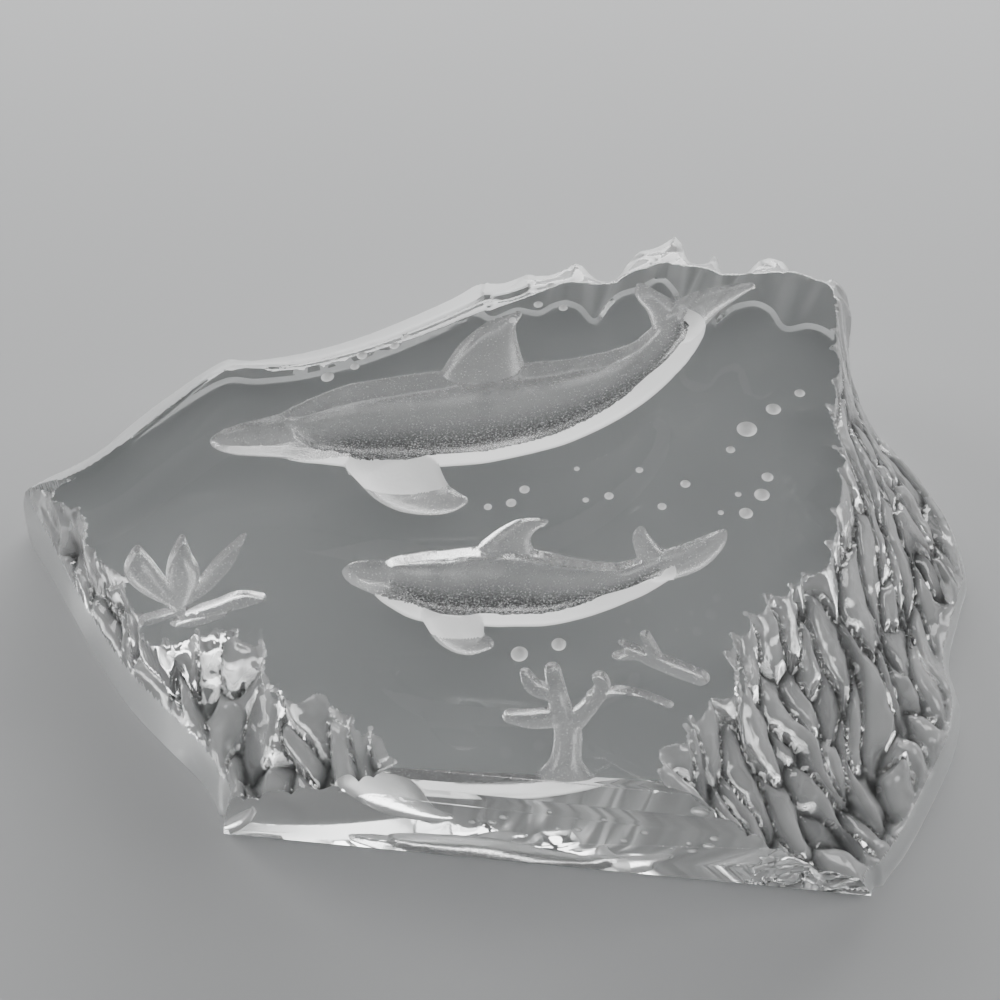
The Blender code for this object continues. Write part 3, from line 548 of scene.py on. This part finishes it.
# The coral by the base and the weed at the left. Both are pressed with the slab and lightly frosted,
# and their branches are tapered grooves; shares of their own height, from where they spring.

CORAL_HEIGHT = 20 * MM
CORAL_FOOT = (0.090, -0.478)
CORAL = (
    ((0.00, -0.10, 0.230), (0.00, 0.10, 0.120), (0.00, 0.35, 0.100), (-0.08, 0.60, 0.080),
     (-0.15, 0.88, 0.060)),
    ((-0.05, 0.48, 0.085), (-0.25, 0.45, 0.085), (-0.44, 0.46, 0.060)),
    ((-0.12, 0.66, 0.070), (-0.28, 0.72, 0.070), (-0.36, 0.84, 0.040)),
    ((0.02, 0.42, 0.090), (0.15, 0.58, 0.070), (0.24, 0.74, 0.060), (0.22, 0.82, 0.060)),
    ((0.18, 0.66, 0.060), (0.36, 0.72, 0.040), (0.55, 0.70, 0.030), (0.75, 0.62, 0.030)),
    ((0.98, 0.86, 0.070), (0.75, 0.95, 0.075), (0.52, 1.05, 0.060), (0.38, 1.14, 0.030)),
    ((0.66, 0.98, 0.060), (0.56, 1.22, 0.040)),
    ((0.52, 1.05, 0.060), (0.34, 1.02, 0.035)),
)
WEED_HEIGHT = 17 * MM
WEED_FOOT = (-0.262, -0.268)
WEED = (
    ((0.02, -0.05, 0.060), (-0.02, 0.30, 0.170), (-0.12, 0.55, 0.120), (-0.18, 0.82, 0.030)),
    ((0.00, 0.00, 0.050), (-0.30, 0.22, 0.130), (-0.52, 0.42, 0.150), (-0.62, 0.66, 0.040)),
    ((0.05, 0.00, 0.050), (0.20, 0.20, 0.090), (0.34, 0.50, 0.110), (0.48, 0.86, 0.030)),
    ((0.08, -0.10, 0.050), (0.40, 0.00, 0.080), (0.62, 0.08, 0.110), (0.84, 0.12, 0.050)),
    ((0.05, -0.20, 0.050), (0.25, -0.16, 0.080), (0.48, -0.08, 0.060)),
    ((-0.30, -0.20, 0.070), (-0.10, -0.12, 0.070), (0.05, -0.05, 0.060)),
)
TWIG_DEPTH = 1.8 * MM
TWIG_PARTS = 10

twigs = []
for springs_from, branches, tall in ((CORAL_FOOT, CORAL, CORAL_HEIGHT), (WEED_FOOT, WEED, WEED_HEIGHT)):
    root = on_slab(*springs_from)
    for branch in branches:
        rows = [(*(root + np.array((x, y)) * tall), half * tall) for x, y, half in branch]
        twigs.append(Groove(rows, TWIG_PARTS))


# The bubbles. Shallow round pits in streams that rise from the dolphins, pressed with the slab and
# frosted white.

# Each bubble's place on the slab and its width in millimetres, one row for each stream.
BUBBLES = (
    ((0.041, 0.364, 1.9), (0.030, 0.317, 1.9), (0.057, 0.309, 1.8), (0.004, 0.285, 1.5)),
    ((-0.107, 0.246, 2.1), (-0.117, 0.222, 2.0), (-0.133, 0.222, 1.8), (-0.149, 0.199, 2.1),
     (-0.154, 0.175, 1.8), (-0.180, 0.152, 2.6)),
    ((0.293, 0.128, 1.9), (0.267, 0.096, 2.7), (0.241, 0.057, 3.6), (0.225, 0.018, 1.6),
     (0.257, -0.030, 2.0), (0.251, -0.061, 2.6), (0.236, -0.093, 2.3), (0.230, -0.061, 1.1),
     (0.214, -0.093, 1.0)),
    ((0.183, -0.045, 1.7), (0.162, -0.085, 1.5), (0.141, -0.022, 1.3), (0.114, -0.069, 1.6),
     (0.093, -0.077, 1.1), (0.083, -0.022, 1.0), (0.036, -0.061, 1.8), (0.025, -0.085, 1.8),
     (0.004, -0.093, 1.4)),
    ((0.046, -0.321, 2.7), (0.078, -0.305, 2.3)),
)
BUBBLE_DEPTH_SHARE = 0.3
bubbles = [(on_slab(x, y), size * MM / 2) for stream in BUBBLES for x, y, size in stream]


def carved_depth(points):
    """Depth of the carvings below the field."""
    depth = np.max([dolphin.depth(points) for dolphin in dolphins], axis=0)
    for twig in twigs:
        share, _ = twig.nearest(points)
        depth = np.maximum(depth, TWIG_DEPTH * np.sqrt(1 - np.minimum(share, 1) ** 2))
    for centre, radius in bubbles:
        share = np.clip(np.hypot(*(points - centre).T) / radius, 0, 1)
        depth = np.maximum(depth, 2 * BUBBLE_DEPTH_SHARE * radius * np.sqrt(1 - share**2))
    return depth


# The skin of the slab: the upper surface as fine facets that keep to every carved edge, its walls,
# the chamfer round the foot and the two ground faces.

# Steps between the points, distances of the rings along a carved edge, the gap that loose points keep
# in steps, half the sides of their area in shares of the slab, and how near the foot counts as on it.
ROCK_STEP = 0.5 * MM
CARVING_STEP = 0.5 * MM
FIELD_STEP = 3 * MM
EDGE_STEP = 0.8 * MM
EDGE_RINGS = (0.45 * MM, 0.05 * MM, -0.25 * MM, -0.7 * MM)
CLEARANCE = 0.5
PLAN_REACH = (0.52, 0.54)
ON_EDGE = 0.01 * MM

# Sides of a bubble's rings, the distance of the outermost ring, and the others as shares of its radius.
BUBBLE_SIDES = 24
BUBBLE_MARGIN = 0.3 * MM
BUBBLE_RINGS = (1, 0.94, 0.7)

# Insets of the lines along the rounded rim, whose stretch of the foot is given by its rows.
RIM_LINES = (1.2 * MM, 2.5 * MM, 5 * MM, 8 * MM, 8.7 * MM, 9.5 * MM, 10.3 * MM, 11 * MM)
RIM_ROWS = (41, 49)
RIM_STRIDE = 4

# Where the rugged glass ripples: below the field, up the wall, and clear of the table and the base edge.
RIPPLE_SINK = 1 * MM
RIPPLE_START = (0.3, 1)
RIPPLE_FOOT = 1.5 * MM
RIPPLE_BASE = 0.3 * MM


def plan_outline():
    """The foot of the slab, closed just past the plane that the base is ground to."""
    front = -PLAN_REACH[1] * DEPTH
    line = foot[foot[:, 1] > front, :2]
    ends = np.array(((line[-1, 0], front), (line[0, 0], front)))
    return spaced(np.vstack((line, ends)), EDGE_STEP)


def lattice(step):
    """Points of a triangular lattice over the whole slab."""
    half_x, half_y = PLAN_REACH[0] * LENGTH, PLAN_REACH[1] * DEPTH
    rows = []
    for i, y in enumerate(np.arange(-half_y, half_y, step * math.sqrt(0.75))):
        x = np.arange(-half_x + (i % 2) * step / 2, half_x, step)
        rows.append(np.column_stack((x, np.full(len(x), y))))
    return np.vstack(rows)


def clear_of(points, others, gap):
    """The points that keep a gap to all the others."""
    tree = kdtree.KDTree(len(others))
    for i, (x, y) in enumerate(others):
        tree.insert((x, y, 0), i)
    tree.balance()
    return points[[tree.find((x, y, 0))[2] > gap for x, y in points]]


def rim_lines():
    """Open lines a little inside the smooth stretch of the foot."""
    first, last = (row * FOOT_PARTS for row in RIM_ROWS)
    stretch = foot[first:last:RIM_STRIDE, :2]
    tangent = np.gradient(stretch, axis=0)
    tangent /= np.hypot(*tangent.T)[:, None]
    inward = np.column_stack((-tangent[:, 1], tangent[:, 0]))
    return [stretch + inset * inward for inset in RIM_LINES]


def carved_lines():
    """The lines that the facets keep to: closed loops, then open lines."""
    loops = []
    for groove in twigs:
        loops += [groove.outline(CARVING_STEP, grow) for grow in EDGE_RINGS[:3]]
    for dolphin in dolphins:
        for groove in (dolphin.body, *dolphin.fins):
            loops += [groove.outline(CARVING_STEP, grow) for grow in EDGE_RINGS]
    for centre, radius in bubbles:
        angles = np.arange(BUBBLE_SIDES) * math.pi / (BUBBLE_SIDES / 2)
        ring = np.column_stack((np.cos(angles), np.sin(angles)))
        sizes = [radius + BUBBLE_MARGIN] + [share * radius for share in BUBBLE_RINGS]
        loops += [centre + size * ring for size in sizes]
    return loops, [dolphin.crease() for dolphin in dolphins] + rim_lines()


outline = plan_outline()
loops, lines = carved_lines()
loops.insert(0, outline)
fixed = np.vstack(loops + lines)
loose = []
for step, wanted in ((ROCK_STEP, "rock"), (CARVING_STEP, "carving"), (FIELD_STEP, "field")):
    points = lattice(step)
    points = points[inside(points, outline)]
    _, _, _, rugged, into = place_on_shoulder(points)
    rocky = into < np.where(rugged > LEAST_RUGGED, ROCK_MARGIN, 0)
    carved = carved_depth(points) > 0
    zone = {"rock": rocky & ~carved, "carving": carved, "field": ~rocky & ~carved}[wanted]
    loose.append(clear_of(points[zone], fixed, CLEARANCE * min(step, EDGE_STEP)))
loose += [centre[None] for centre, _ in bubbles]

edges = []
start = 0
closed = sum(map(len, loops))
for line in loops + lines:
    numbers = list(range(start, start + len(line)))
    edges += zip(numbers, numbers[1:])
    start += len(line)
    if start <= closed:
        edges.append((numbers[-1], numbers[0]))
verts, _, faces, *_ = delaunay_2d_cdt(
    [tuple(p) for p in np.vstack([fixed] + loose) / MM], edges, [], 0, 1e-4
)
plan = np.array([tuple(v) for v in verts]) * MM
faces = np.array(faces)
faces = faces[inside(plan[faces].mean(axis=1), outline)]
height, ridge = shoulder(plan)
out, _, run, rugged, _ = place_on_shoulder(plan)
ripple = rugged * smoothstep(0, RIPPLE_SINK, field_height(plan[:, 0]) - height)
ripple *= smoothstep(*RIPPLE_START, out / run)
height = np.maximum(height - carved_depth(plan), FOOT_CHAMFER)
on_edge, _ = distance_to_line(plan, np.vstack((outline, outline[:1])))
height[on_edge < ON_EDGE] = FOOT_CHAMFER


def close_below(mesh):
    """Adds the foot's chamfer and the flat underside to the open edge of the upper surface."""
    rim = [edge for edge in mesh.edges if edge.is_boundary]
    made = bmesh.ops.extrude_edge_only(mesh, edges=rim)["geom"]
    lower = [v for v in made if isinstance(v, bmesh.types.BMVert)]
    loop = [e for e in made if isinstance(e, bmesh.types.BMEdge)]
    moves = {}
    middle = Vector(np.mean([v.co for v in lower], axis=0))
    for vert in lower:
        ends = [e.other_vert(vert).co for e in vert.link_edges if e in loop]
        normal = (ends[1] - ends[0]).normalized().cross((0, 0, 1))
        moves[vert] = -normal if normal.dot(vert.co - middle) > 0 else normal
    for vert, normal in moves.items():
        vert.co += normal * FOOT_CHAMFER
        vert.co.z = 0
    bmesh.ops.edgeloop_fill(mesh, edges=loop)


def grind(mesh, place, normal):
    """Grinds the solid flat: cuts away what lies beyond the plane and closes the cut."""
    cut = bmesh.ops.bisect_plane(
        mesh, geom=mesh.verts[:] + mesh.edges[:] + mesh.faces[:], dist=1e-7,
        plane_co=place, plane_no=normal, clear_outer=True,
    )["geom_cut"]
    bmesh.ops.edgeloop_fill(mesh, edges=[e for e in cut if isinstance(e, bmesh.types.BMEdge)])


# The ridge layer carries the painted shade in the lumps' creases, and the shade layer the painted shade on
# the dolphins' lower flanks.
skin = bmesh.new()
rippled = skin.verts.layers.float.new("ripple")
polished = skin.verts.layers.float.new("polish")
crease_shade_layer = skin.verts.layers.float.new("ridge")
shaded = skin.verts.layers.float.new("shade")
corners = [skin.verts.new((x, y, z)) for (x, y), z in zip(plan, height)]
polish = np.max([dolphin.polish(plan) for dolphin in dolphins], axis=0)
shade = np.max([dolphin.shade(plan) for dolphin in dolphins], axis=0)
for corner, wave, gloss, high, dark in zip(corners, ripple, polish, ridge, shade):
    corner[rippled] = wave
    corner[polished] = gloss
    corner[crease_shade_layer] = high
    corner[shaded] = dark
for a, b, c in faces:
    skin.faces.new((corners[a], corners[b], corners[c]))
bmesh.ops.delete(skin, geom=[v for v in skin.verts if not v.link_faces], context="VERTS")
close_below(skin)
base = -0.5 * DEPTH
grind(skin, (0, base, 0), (0, -math.cos(BASE_LEAN), math.sin(BASE_LEAN)))
grind(skin, (0, base + FOOT_CHAMFER, 0), (0, -1, -1))
for vert in skin.verts:
    base_here = base + vert.co.z * math.tan(BASE_LEAN)
    if vert.co.z < RIPPLE_FOOT or vert.co.y < base_here + RIPPLE_BASE:
        vert[rippled] = 0
bmesh.ops.triangulate(skin, faces=skin.faces)
bmesh.ops.recalc_face_normals(skin, faces=skin.faces)

reach = np.array([v.co for v in skin.verts])
middle = (reach.min(axis=0) + reach.max(axis=0)) / 2
middle[1] = reach[:, 1].min() - cad_low[1]
for vert in skin.verts:
    vert.co.x = min(max(vert.co.x - middle[0], cad_low[0]), cad_high[0])
    vert.co.y = min(max(vert.co.y - middle[1], cad_low[1]), cad_high[1])
    vert.co.z = min(vert.co.z, cad_high[2])
slab_mesh = bpy.data.meshes.new("glass slab")
skin.to_mesh(slab_mesh)
skin.free()
slab = bpy.data.objects.new("glass_slab", slab_mesh)
bpy.context.scene.collection.objects.link(slab)


# The finishes. One lead glass all through: polished clear, glossy and rippled like ice on the lumps,
# satin on the walls, and blasted with fine sand on the carvings, whitest on the belly bands, the
# flipper roots and the bubbles. Shade is painted into the creases of the lumps and onto the lower
# flanks of the dolphins.

LEAD_GLASS_INDEX = 1.545
GRAIN_SIZE = 0.35 * MM
GRAIN_CONTRAST = 0.3

# Heights of the grain between which the painted shade on a flank turns to a bright speck, and how
# much darker such a speck stays than the plain glass. The painted shade in a crease ends at a share of the
# lump's height.
SPECK_RANGE = (0.46, 0.62)
SPECK_DIP = 0.2
CREASE_SHADE_TOP = 0.75


def grain_group():
    """Fine grain of a blasted surface: its height, and the roughness that it gives."""
    group = bpy.data.node_groups.new("frost grain", "ShaderNodeTree")
    for name, value in (("Grain Size", GRAIN_SIZE), ("Least Roughness", 0.2), ("Most Roughness", 0.5)):
        socket = group.interface.new_socket(name, in_out="INPUT", socket_type="NodeSocketFloat")
        socket.default_value = value
    for name in ("Height", "Roughness"):
        group.interface.new_socket(name, in_out="OUTPUT", socket_type="NodeSocketFloat")
    nodes, links = group.nodes, group.links
    inward = nodes.new("NodeGroupInput")
    outward = nodes.new("NodeGroupOutput")
    place = nodes.new("ShaderNodeTexCoord")
    scale = nodes.new("ShaderNodeMath")
    scale.operation = "DIVIDE"
    scale.inputs[0].default_value = 1
    links.new(inward.outputs["Grain Size"], scale.inputs[1])
    noise = nodes.new("ShaderNodeTexNoise")
    noise.inputs["Detail"].default_value = 2
    links.new(place.outputs["Object"], noise.inputs["Vector"])
    links.new(scale.outputs[0], noise.inputs["Scale"])
    gloss = nodes.new("ShaderNodeAttribute")
    gloss.attribute_name = "polish"
    smoothed = nodes.new("ShaderNodeMapRange")
    links.new(gloss.outputs["Fac"], smoothed.inputs["Value"])
    links.new(inward.outputs["Most Roughness"], smoothed.inputs["To Min"])
    links.new(inward.outputs["Least Roughness"], smoothed.inputs["To Max"])
    rough = nodes.new("ShaderNodeMath")
    rough.operation = "MULTIPLY_ADD"
    rough.inputs[1].default_value = GRAIN_CONTRAST
    links.new(noise.outputs["Fac"], rough.inputs[0])
    links.new(smoothed.outputs["Result"], rough.inputs[2])
    links.new(noise.outputs["Fac"], outward.inputs["Height"])
    links.new(rough.outputs[0], outward.inputs["Roughness"])
    return group


def glass(name, colour, transmission, roughness=0.3):
    """One finish of the lead glass. A grained finish gets its roughness from its grain."""
    material = bpy.data.materials.new(name)
    material.use_nodes = True
    shader = material.node_tree.nodes["Principled BSDF"]
    shader.inputs["Base Color"].default_value = (*colour, 1)
    shader.inputs["Roughness"].default_value = roughness
    shader.inputs["Metallic"].default_value = 0
    shader.inputs["Transmission Weight"].default_value = transmission
    shader.inputs["IOR"].default_value = LEAD_GLASS_INDEX
    return material


def add_grain(material, group, least, most, depth):
    """Roughens a glass with the grain."""
    nodes, links = material.node_tree.nodes, material.node_tree.links
    grain = nodes.new("ShaderNodeGroup")
    grain.node_tree = group
    for name, value in (("Grain Size", GRAIN_SIZE), ("Least Roughness", least), ("Most Roughness", most)):
        grain.inputs[name].default_value = value
    bump = nodes.new("ShaderNodeBump")
    bump.inputs["Distance"].default_value = depth
    links.new(grain.outputs["Height"], bump.inputs["Height"])
    links.new(bump.outputs["Normal"], nodes["Principled BSDF"].inputs["Normal"])
    links.new(grain.outputs["Roughness"], nodes["Principled BSDF"].inputs["Roughness"])
    return grain


def paint_flank_shade(material, grain, dark, light):
    """Paints shade onto the flanks of a frosted glass, where bright specks of the grain stand on the painted
    dark.
    """
    nodes, links = material.node_tree.nodes, material.node_tree.links
    specks = nodes.new("ShaderNodeMapRange")
    specks.inputs["From Min"].default_value = SPECK_RANGE[0]
    specks.inputs["From Max"].default_value = SPECK_RANGE[1]
    specks.inputs["To Min"].default_value = dark - light
    specks.inputs["To Max"].default_value = -SPECK_DIP
    links.new(grain.outputs["Height"], specks.inputs["Value"])
    shade = nodes.new("ShaderNodeAttribute")
    shade.attribute_name = "shade"
    tint = nodes.new("ShaderNodeMath")
    tint.operation = "MULTIPLY_ADD"
    tint.inputs[2].default_value = light
    links.new(shade.outputs["Fac"], tint.inputs[0])
    links.new(specks.outputs["Result"], tint.inputs[1])
    links.new(tint.outputs[0], nodes["Principled BSDF"].inputs["Base Color"])


def paint_crease_shade(material, crease, top):
    """Paints shade into a glass: dark in its creases, fading to its plain colour on its ridges."""
    nodes, links = material.node_tree.nodes, material.node_tree.links
    ridge = nodes.new("ShaderNodeAttribute")
    ridge.attribute_name = "ridge"
    tint = nodes.new("ShaderNodeMapRange")
    tint.interpolation_type = "SMOOTHSTEP"
    tint.inputs["From Max"].default_value = CREASE_SHADE_TOP
    tint.inputs["To Min"].default_value = crease
    tint.inputs["To Max"].default_value = top
    links.new(ridge.outputs["Fac"], tint.inputs["Value"])
    links.new(tint.outputs["Result"], nodes["Principled BSDF"].inputs["Base Color"])


grain = grain_group()
clear = glass("clear lead glass", colour=(0.97, 0.985, 0.98), transmission=1, roughness=0.01)
iced_glass_with_crease_shade = glass("iced glass", colour=(0.9, 0.91, 0.91), transmission=0.7, roughness=0.05)
# Painted shade: the iced glass is painted dark in the creases of the lumps, from the ridge layer.
paint_crease_shade(iced_glass_with_crease_shade, crease=0.03, top=0.96)
satin_glass = glass("satin glass", colour=(0.93, 0.94, 0.94), transmission=0.6)
add_grain(satin_glass, grain, least=0.2, most=0.35, depth=0.01 * MM)
frosted_glass_with_flank_shade = glass("frosted glass", colour=(0.97, 0.98, 0.98), transmission=0.8)
frost = add_grain(frosted_glass_with_flank_shade, grain, least=0.02, most=0.3, depth=0.03 * MM)
# Painted shade: the dolphins' lower flanks are painted dark from the shade layer, with bright specks of
# grain.
paint_flank_shade(frosted_glass_with_flank_shade, frost, dark=0.08, light=0.97)
white_glass = glass("white frosted glass", colour=(0.97, 0.975, 0.97), transmission=0.3)
add_grain(white_glass, grain, least=0.3, most=0.45, depth=0.02 * MM)

# How far the satin reaches over the smooth rim and down the rugged wall, from how rugged a wall on the
# lumps are iced, and how far below a polished face another finish starts.
SATIN_BAND = 6.5 * MM
SATIN_SHRINK = 0.4
SATIN_RIM = (0.3, 0)
LEAST_ICED = 0.15
FINISH_DEPTH = 0.05 * MM
SHARP_ANGLE = math.radians(40)

centres = np.array([tuple(face.center) for face in slab_mesh.polygons])
upward = np.array([face.normal.z for face in slab_mesh.polygons]) > 0
upward &= centres[:, 2] > FOOT_CHAMFER
plan = centres[:, :2] + middle[:2]
carved = np.zeros(len(plan), bool)
white = np.zeros(len(plan), bool)
for dolphin in dolphins:
    carved |= dolphin.depth(plan) > 0
    white |= dolphin.belly(plan)
for twig in twigs:
    carved |= twig.nearest(plan)[0] < 1
for centre, radius in bubbles:
    white |= np.hypot(*(plan - centre).T) < radius
out, _, run, rugged, _ = place_on_shoulder(plan)
sunk = field_height(plan[:, 0]) - centres[:, 2] > FINISH_DEPTH
satin_reach = run * (1 - SATIN_SHRINK * rugged) + SATIN_BAND * smoothstep(*SATIN_RIM, rugged)
satin = sunk & ~carved & (out < satin_reach)
iced = sunk & ~carved & ~satin & (rugged > LEAST_ICED)
behind_base = plan[:, 1] > base + centres[:, 2] * math.tan(BASE_LEAN) + FINISH_DEPTH
zones = {"iced": iced & behind_base, "satin": satin & behind_base, "frosted": carved, "white": white}
for name, chosen in zones.items():
    slab_mesh.attributes.new(name, "BOOLEAN", "FACE").data.foreach_set("value", chosen & upward)


def cast_tree():
    """Moves the rugged glass in and out along its normal by a smooth wave, and gives each face its glass."""
    tree = bpy.data.node_groups.new("cast surface", "GeometryNodeTree")
    inputs = (
        ("Slab", "NodeSocketGeometry"), ("Ripple Height", "NodeSocketFloat"),
        ("Ripple Size", "NodeSocketFloat"), ("Seed", "NodeSocketFloat"), ("Clear", "NodeSocketMaterial"),
        ("Iced", "NodeSocketMaterial"), ("Satin", "NodeSocketMaterial"),
        ("Frosted", "NodeSocketMaterial"), ("White", "NodeSocketMaterial"),
    )
    for name, kind in inputs:
        tree.interface.new_socket(name, in_out="INPUT", socket_type=kind)
    tree.interface.new_socket("Slab", in_out="OUTPUT", socket_type="NodeSocketGeometry")
    nodes, links = tree.nodes, tree.links
    given = nodes.new("NodeGroupInput")
    result = nodes.new("NodeGroupOutput")
    scale = nodes.new("ShaderNodeMath")
    scale.operation = "DIVIDE"
    scale.inputs[0].default_value = 1
    links.new(given.outputs["Ripple Size"], scale.inputs[1])
    noise = nodes.new("ShaderNodeTexNoise")
    noise.noise_dimensions = "4D"
    noise.inputs["Detail"].default_value = 1
    links.new(nodes.new("GeometryNodeInputPosition").outputs[0], noise.inputs["Vector"])
    links.new(given.outputs["Seed"], noise.inputs["W"])
    links.new(scale.outputs[0], noise.inputs["Scale"])
    centred = nodes.new("ShaderNodeMath")
    centred.operation = "SUBTRACT"
    centred.inputs[1].default_value = 0.5
    links.new(noise.outputs["Fac"], centred.inputs[0])
    rugged_here = nodes.new("GeometryNodeInputNamedAttribute")
    rugged_here.data_type = "FLOAT"
    rugged_here.inputs["Name"].default_value = "ripple"
    amount = nodes.new("ShaderNodeMath")
    amount.operation = "MULTIPLY"
    links.new(centred.outputs[0], amount.inputs[0])
    links.new(rugged_here.outputs["Attribute"], amount.inputs[1])
    height = nodes.new("ShaderNodeMath")
    height.operation = "MULTIPLY"
    links.new(amount.outputs[0], height.inputs[0])
    links.new(given.outputs["Ripple Height"], height.inputs[1])
    push = nodes.new("ShaderNodeVectorMath")
    push.operation = "SCALE"
    links.new(nodes.new("GeometryNodeInputNormal").outputs[0], push.inputs[0])
    links.new(height.outputs[0], push.inputs["Scale"])
    move = nodes.new("GeometryNodeSetPosition")
    links.new(given.outputs["Slab"], move.inputs["Geometry"])
    links.new(push.outputs[0], move.inputs["Offset"])
    last = nodes.new("GeometryNodeRealizeInstances")
    links.new(move.outputs[0], last.inputs[0])
    for name in ("Clear", "Iced", "Satin", "Frosted", "White"):
        paint = nodes.new("GeometryNodeSetMaterial")
        links.new(last.outputs[0], paint.inputs["Geometry"])
        links.new(given.outputs[name], paint.inputs["Material"])
        if name != "Clear":
            where = nodes.new("GeometryNodeInputNamedAttribute")
            where.data_type = "BOOLEAN"
            where.inputs["Name"].default_value = name.lower()
            links.new(where.outputs["Attribute"], paint.inputs["Selection"])
        last = paint
    links.new(last.outputs[0], result.inputs["Slab"])
    return tree


tree = cast_tree()
modifier = slab.modifiers.new("cast surface", "NODES")
modifier.node_group = tree
settings = {
    "Ripple Height": 1.0 * MM, "Ripple Size": 3.0 * MM, "Seed": 4.0,
    "Clear": clear, "Iced": iced_glass_with_crease_shade, "Satin": satin_glass, "Frosted": frosted_glass_with_flank_shade, "White": white_glass,
}
for item in tree.interface.items_tree:
    if item.in_out == "INPUT" and item.name in settings:
        modifier[item.identifier] = settings[item.name]
slab_mesh = bpy.data.meshes.new_from_object(slab.evaluated_get(bpy.context.evaluated_depsgraph_get()))
slab.modifiers.clear()
slab.data = slab_mesh
for vert in slab_mesh.vertices:
    vert.co = [min(max(at, low), high) for at, low, high in zip(vert.co, cad_low, cad_high)]
slab_mesh.shade_smooth()
slab_mesh.set_sharp_from_angle(angle=SHARP_ANGLE)
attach(slab, "root")
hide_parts("dolphin_paperweight")


# The table. A plain pale sheet of matt board, much wider than the slab, on which the slab lies
# with its polished face down.

TABLE_HALF = 3.0
TABLE_TOP = -0.1 * MM
TABLE_COLOUR = (0.45, 0.455, 0.46, 1)

table_mesh = bpy.data.meshes.new("table")
signs = ((-1, -1), (1, -1), (1, 1), (-1, 1))
table_mesh.from_pydata([(x * TABLE_HALF, y * TABLE_HALF, TABLE_TOP) for x, y in signs], [], [(0, 1, 2, 3)])
table = bpy.data.objects.new("table", table_mesh)
bpy.context.scene.collection.objects.link(table)
board = bpy.data.materials.new("pale table")
board.use_nodes = True
board.node_tree.nodes["Principled BSDF"].inputs["Base Color"].default_value = TABLE_COLOUR
board.node_tree.nodes["Principled BSDF"].inputs["Roughness"].default_value = 0.7
table_mesh.materials.append(board)
table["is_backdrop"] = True


# The light. A long low panel behind, which the sloping glass mirrors, dim panels above and at both
# sides, and an even dark surround that gives the glass its creases.

# Each panel's name, its place and its sides in metres, and its power in watts. All face the slab.
PANELS = (
    ("back panel", (0, 1.0, 0.29), (1.6, 0.5), 23),
    ("left panel", (-0.8, 0.3, 0.4), (0.4, 0.5), 4.5),
    ("right panel", (0.8, 0.15, 0.5), (0.4, 0.4), 3.5),
    ("top panel", (0.1, -0.2, 1.1), (0.4, 0.4), 2.5),
    ("upper back panel", (0, 0.65, 0.95), (1.8, 1.0), 1.5),
)

for name, place, sides, power in PANELS:
    panel = bpy.data.objects.new(name, bpy.data.lights.new(name, "AREA"))
    panel.data.shape = "RECTANGLE"
    panel.data.size, panel.data.size_y = sides
    panel.data.energy = power
    panel.location = place
    panel.rotation_euler = Vector(place).to_track_quat("Z", "Y").to_euler()
    bpy.context.scene.collection.objects.link(panel)
surround = bpy.data.worlds.new("surround")
surround.use_nodes = True
surround.node_tree.nodes["Background"].inputs["Color"].default_value = (0.75, 0.78, 0.8, 1)
surround.node_tree.nodes["Background"].inputs["Strength"].default_value = 0.1
bpy.context.scene.world = surround


# The camera. It stands close, in front of the base edge and well above it, and a little to the
# right, as the photograph was taken.

PICTURE_PIXELS = 1000
FOCAL_PIXELS = 1072
SENSOR_WIDTH = 36
AZIMUTH = math.radians(5.5)
ELEVATION = math.radians(52.6)
DISTANCE = 207.2 * MM
TARGET = Vector((1.9, -0.2, 15)) * MM

camera = bpy.data.objects.new("camera", bpy.data.cameras.new("camera"))
camera.data.sensor_width = SENSOR_WIDTH
camera.data.lens = SENSOR_WIDTH * FOCAL_PIXELS / PICTURE_PIXELS
camera.data.clip_start = 0.01
back = Vector((
    math.sin(AZIMUTH) * math.cos(ELEVATION), -math.cos(AZIMUTH) * math.cos(ELEVATION), math.sin(ELEVATION)
))
camera.location = TARGET + back * DISTANCE
camera.rotation_euler = back.to_track_quat("Z", "Y").to_euler()
bpy.context.scene.collection.objects.link(camera)
bpy.context.scene.camera = camera

low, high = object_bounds()
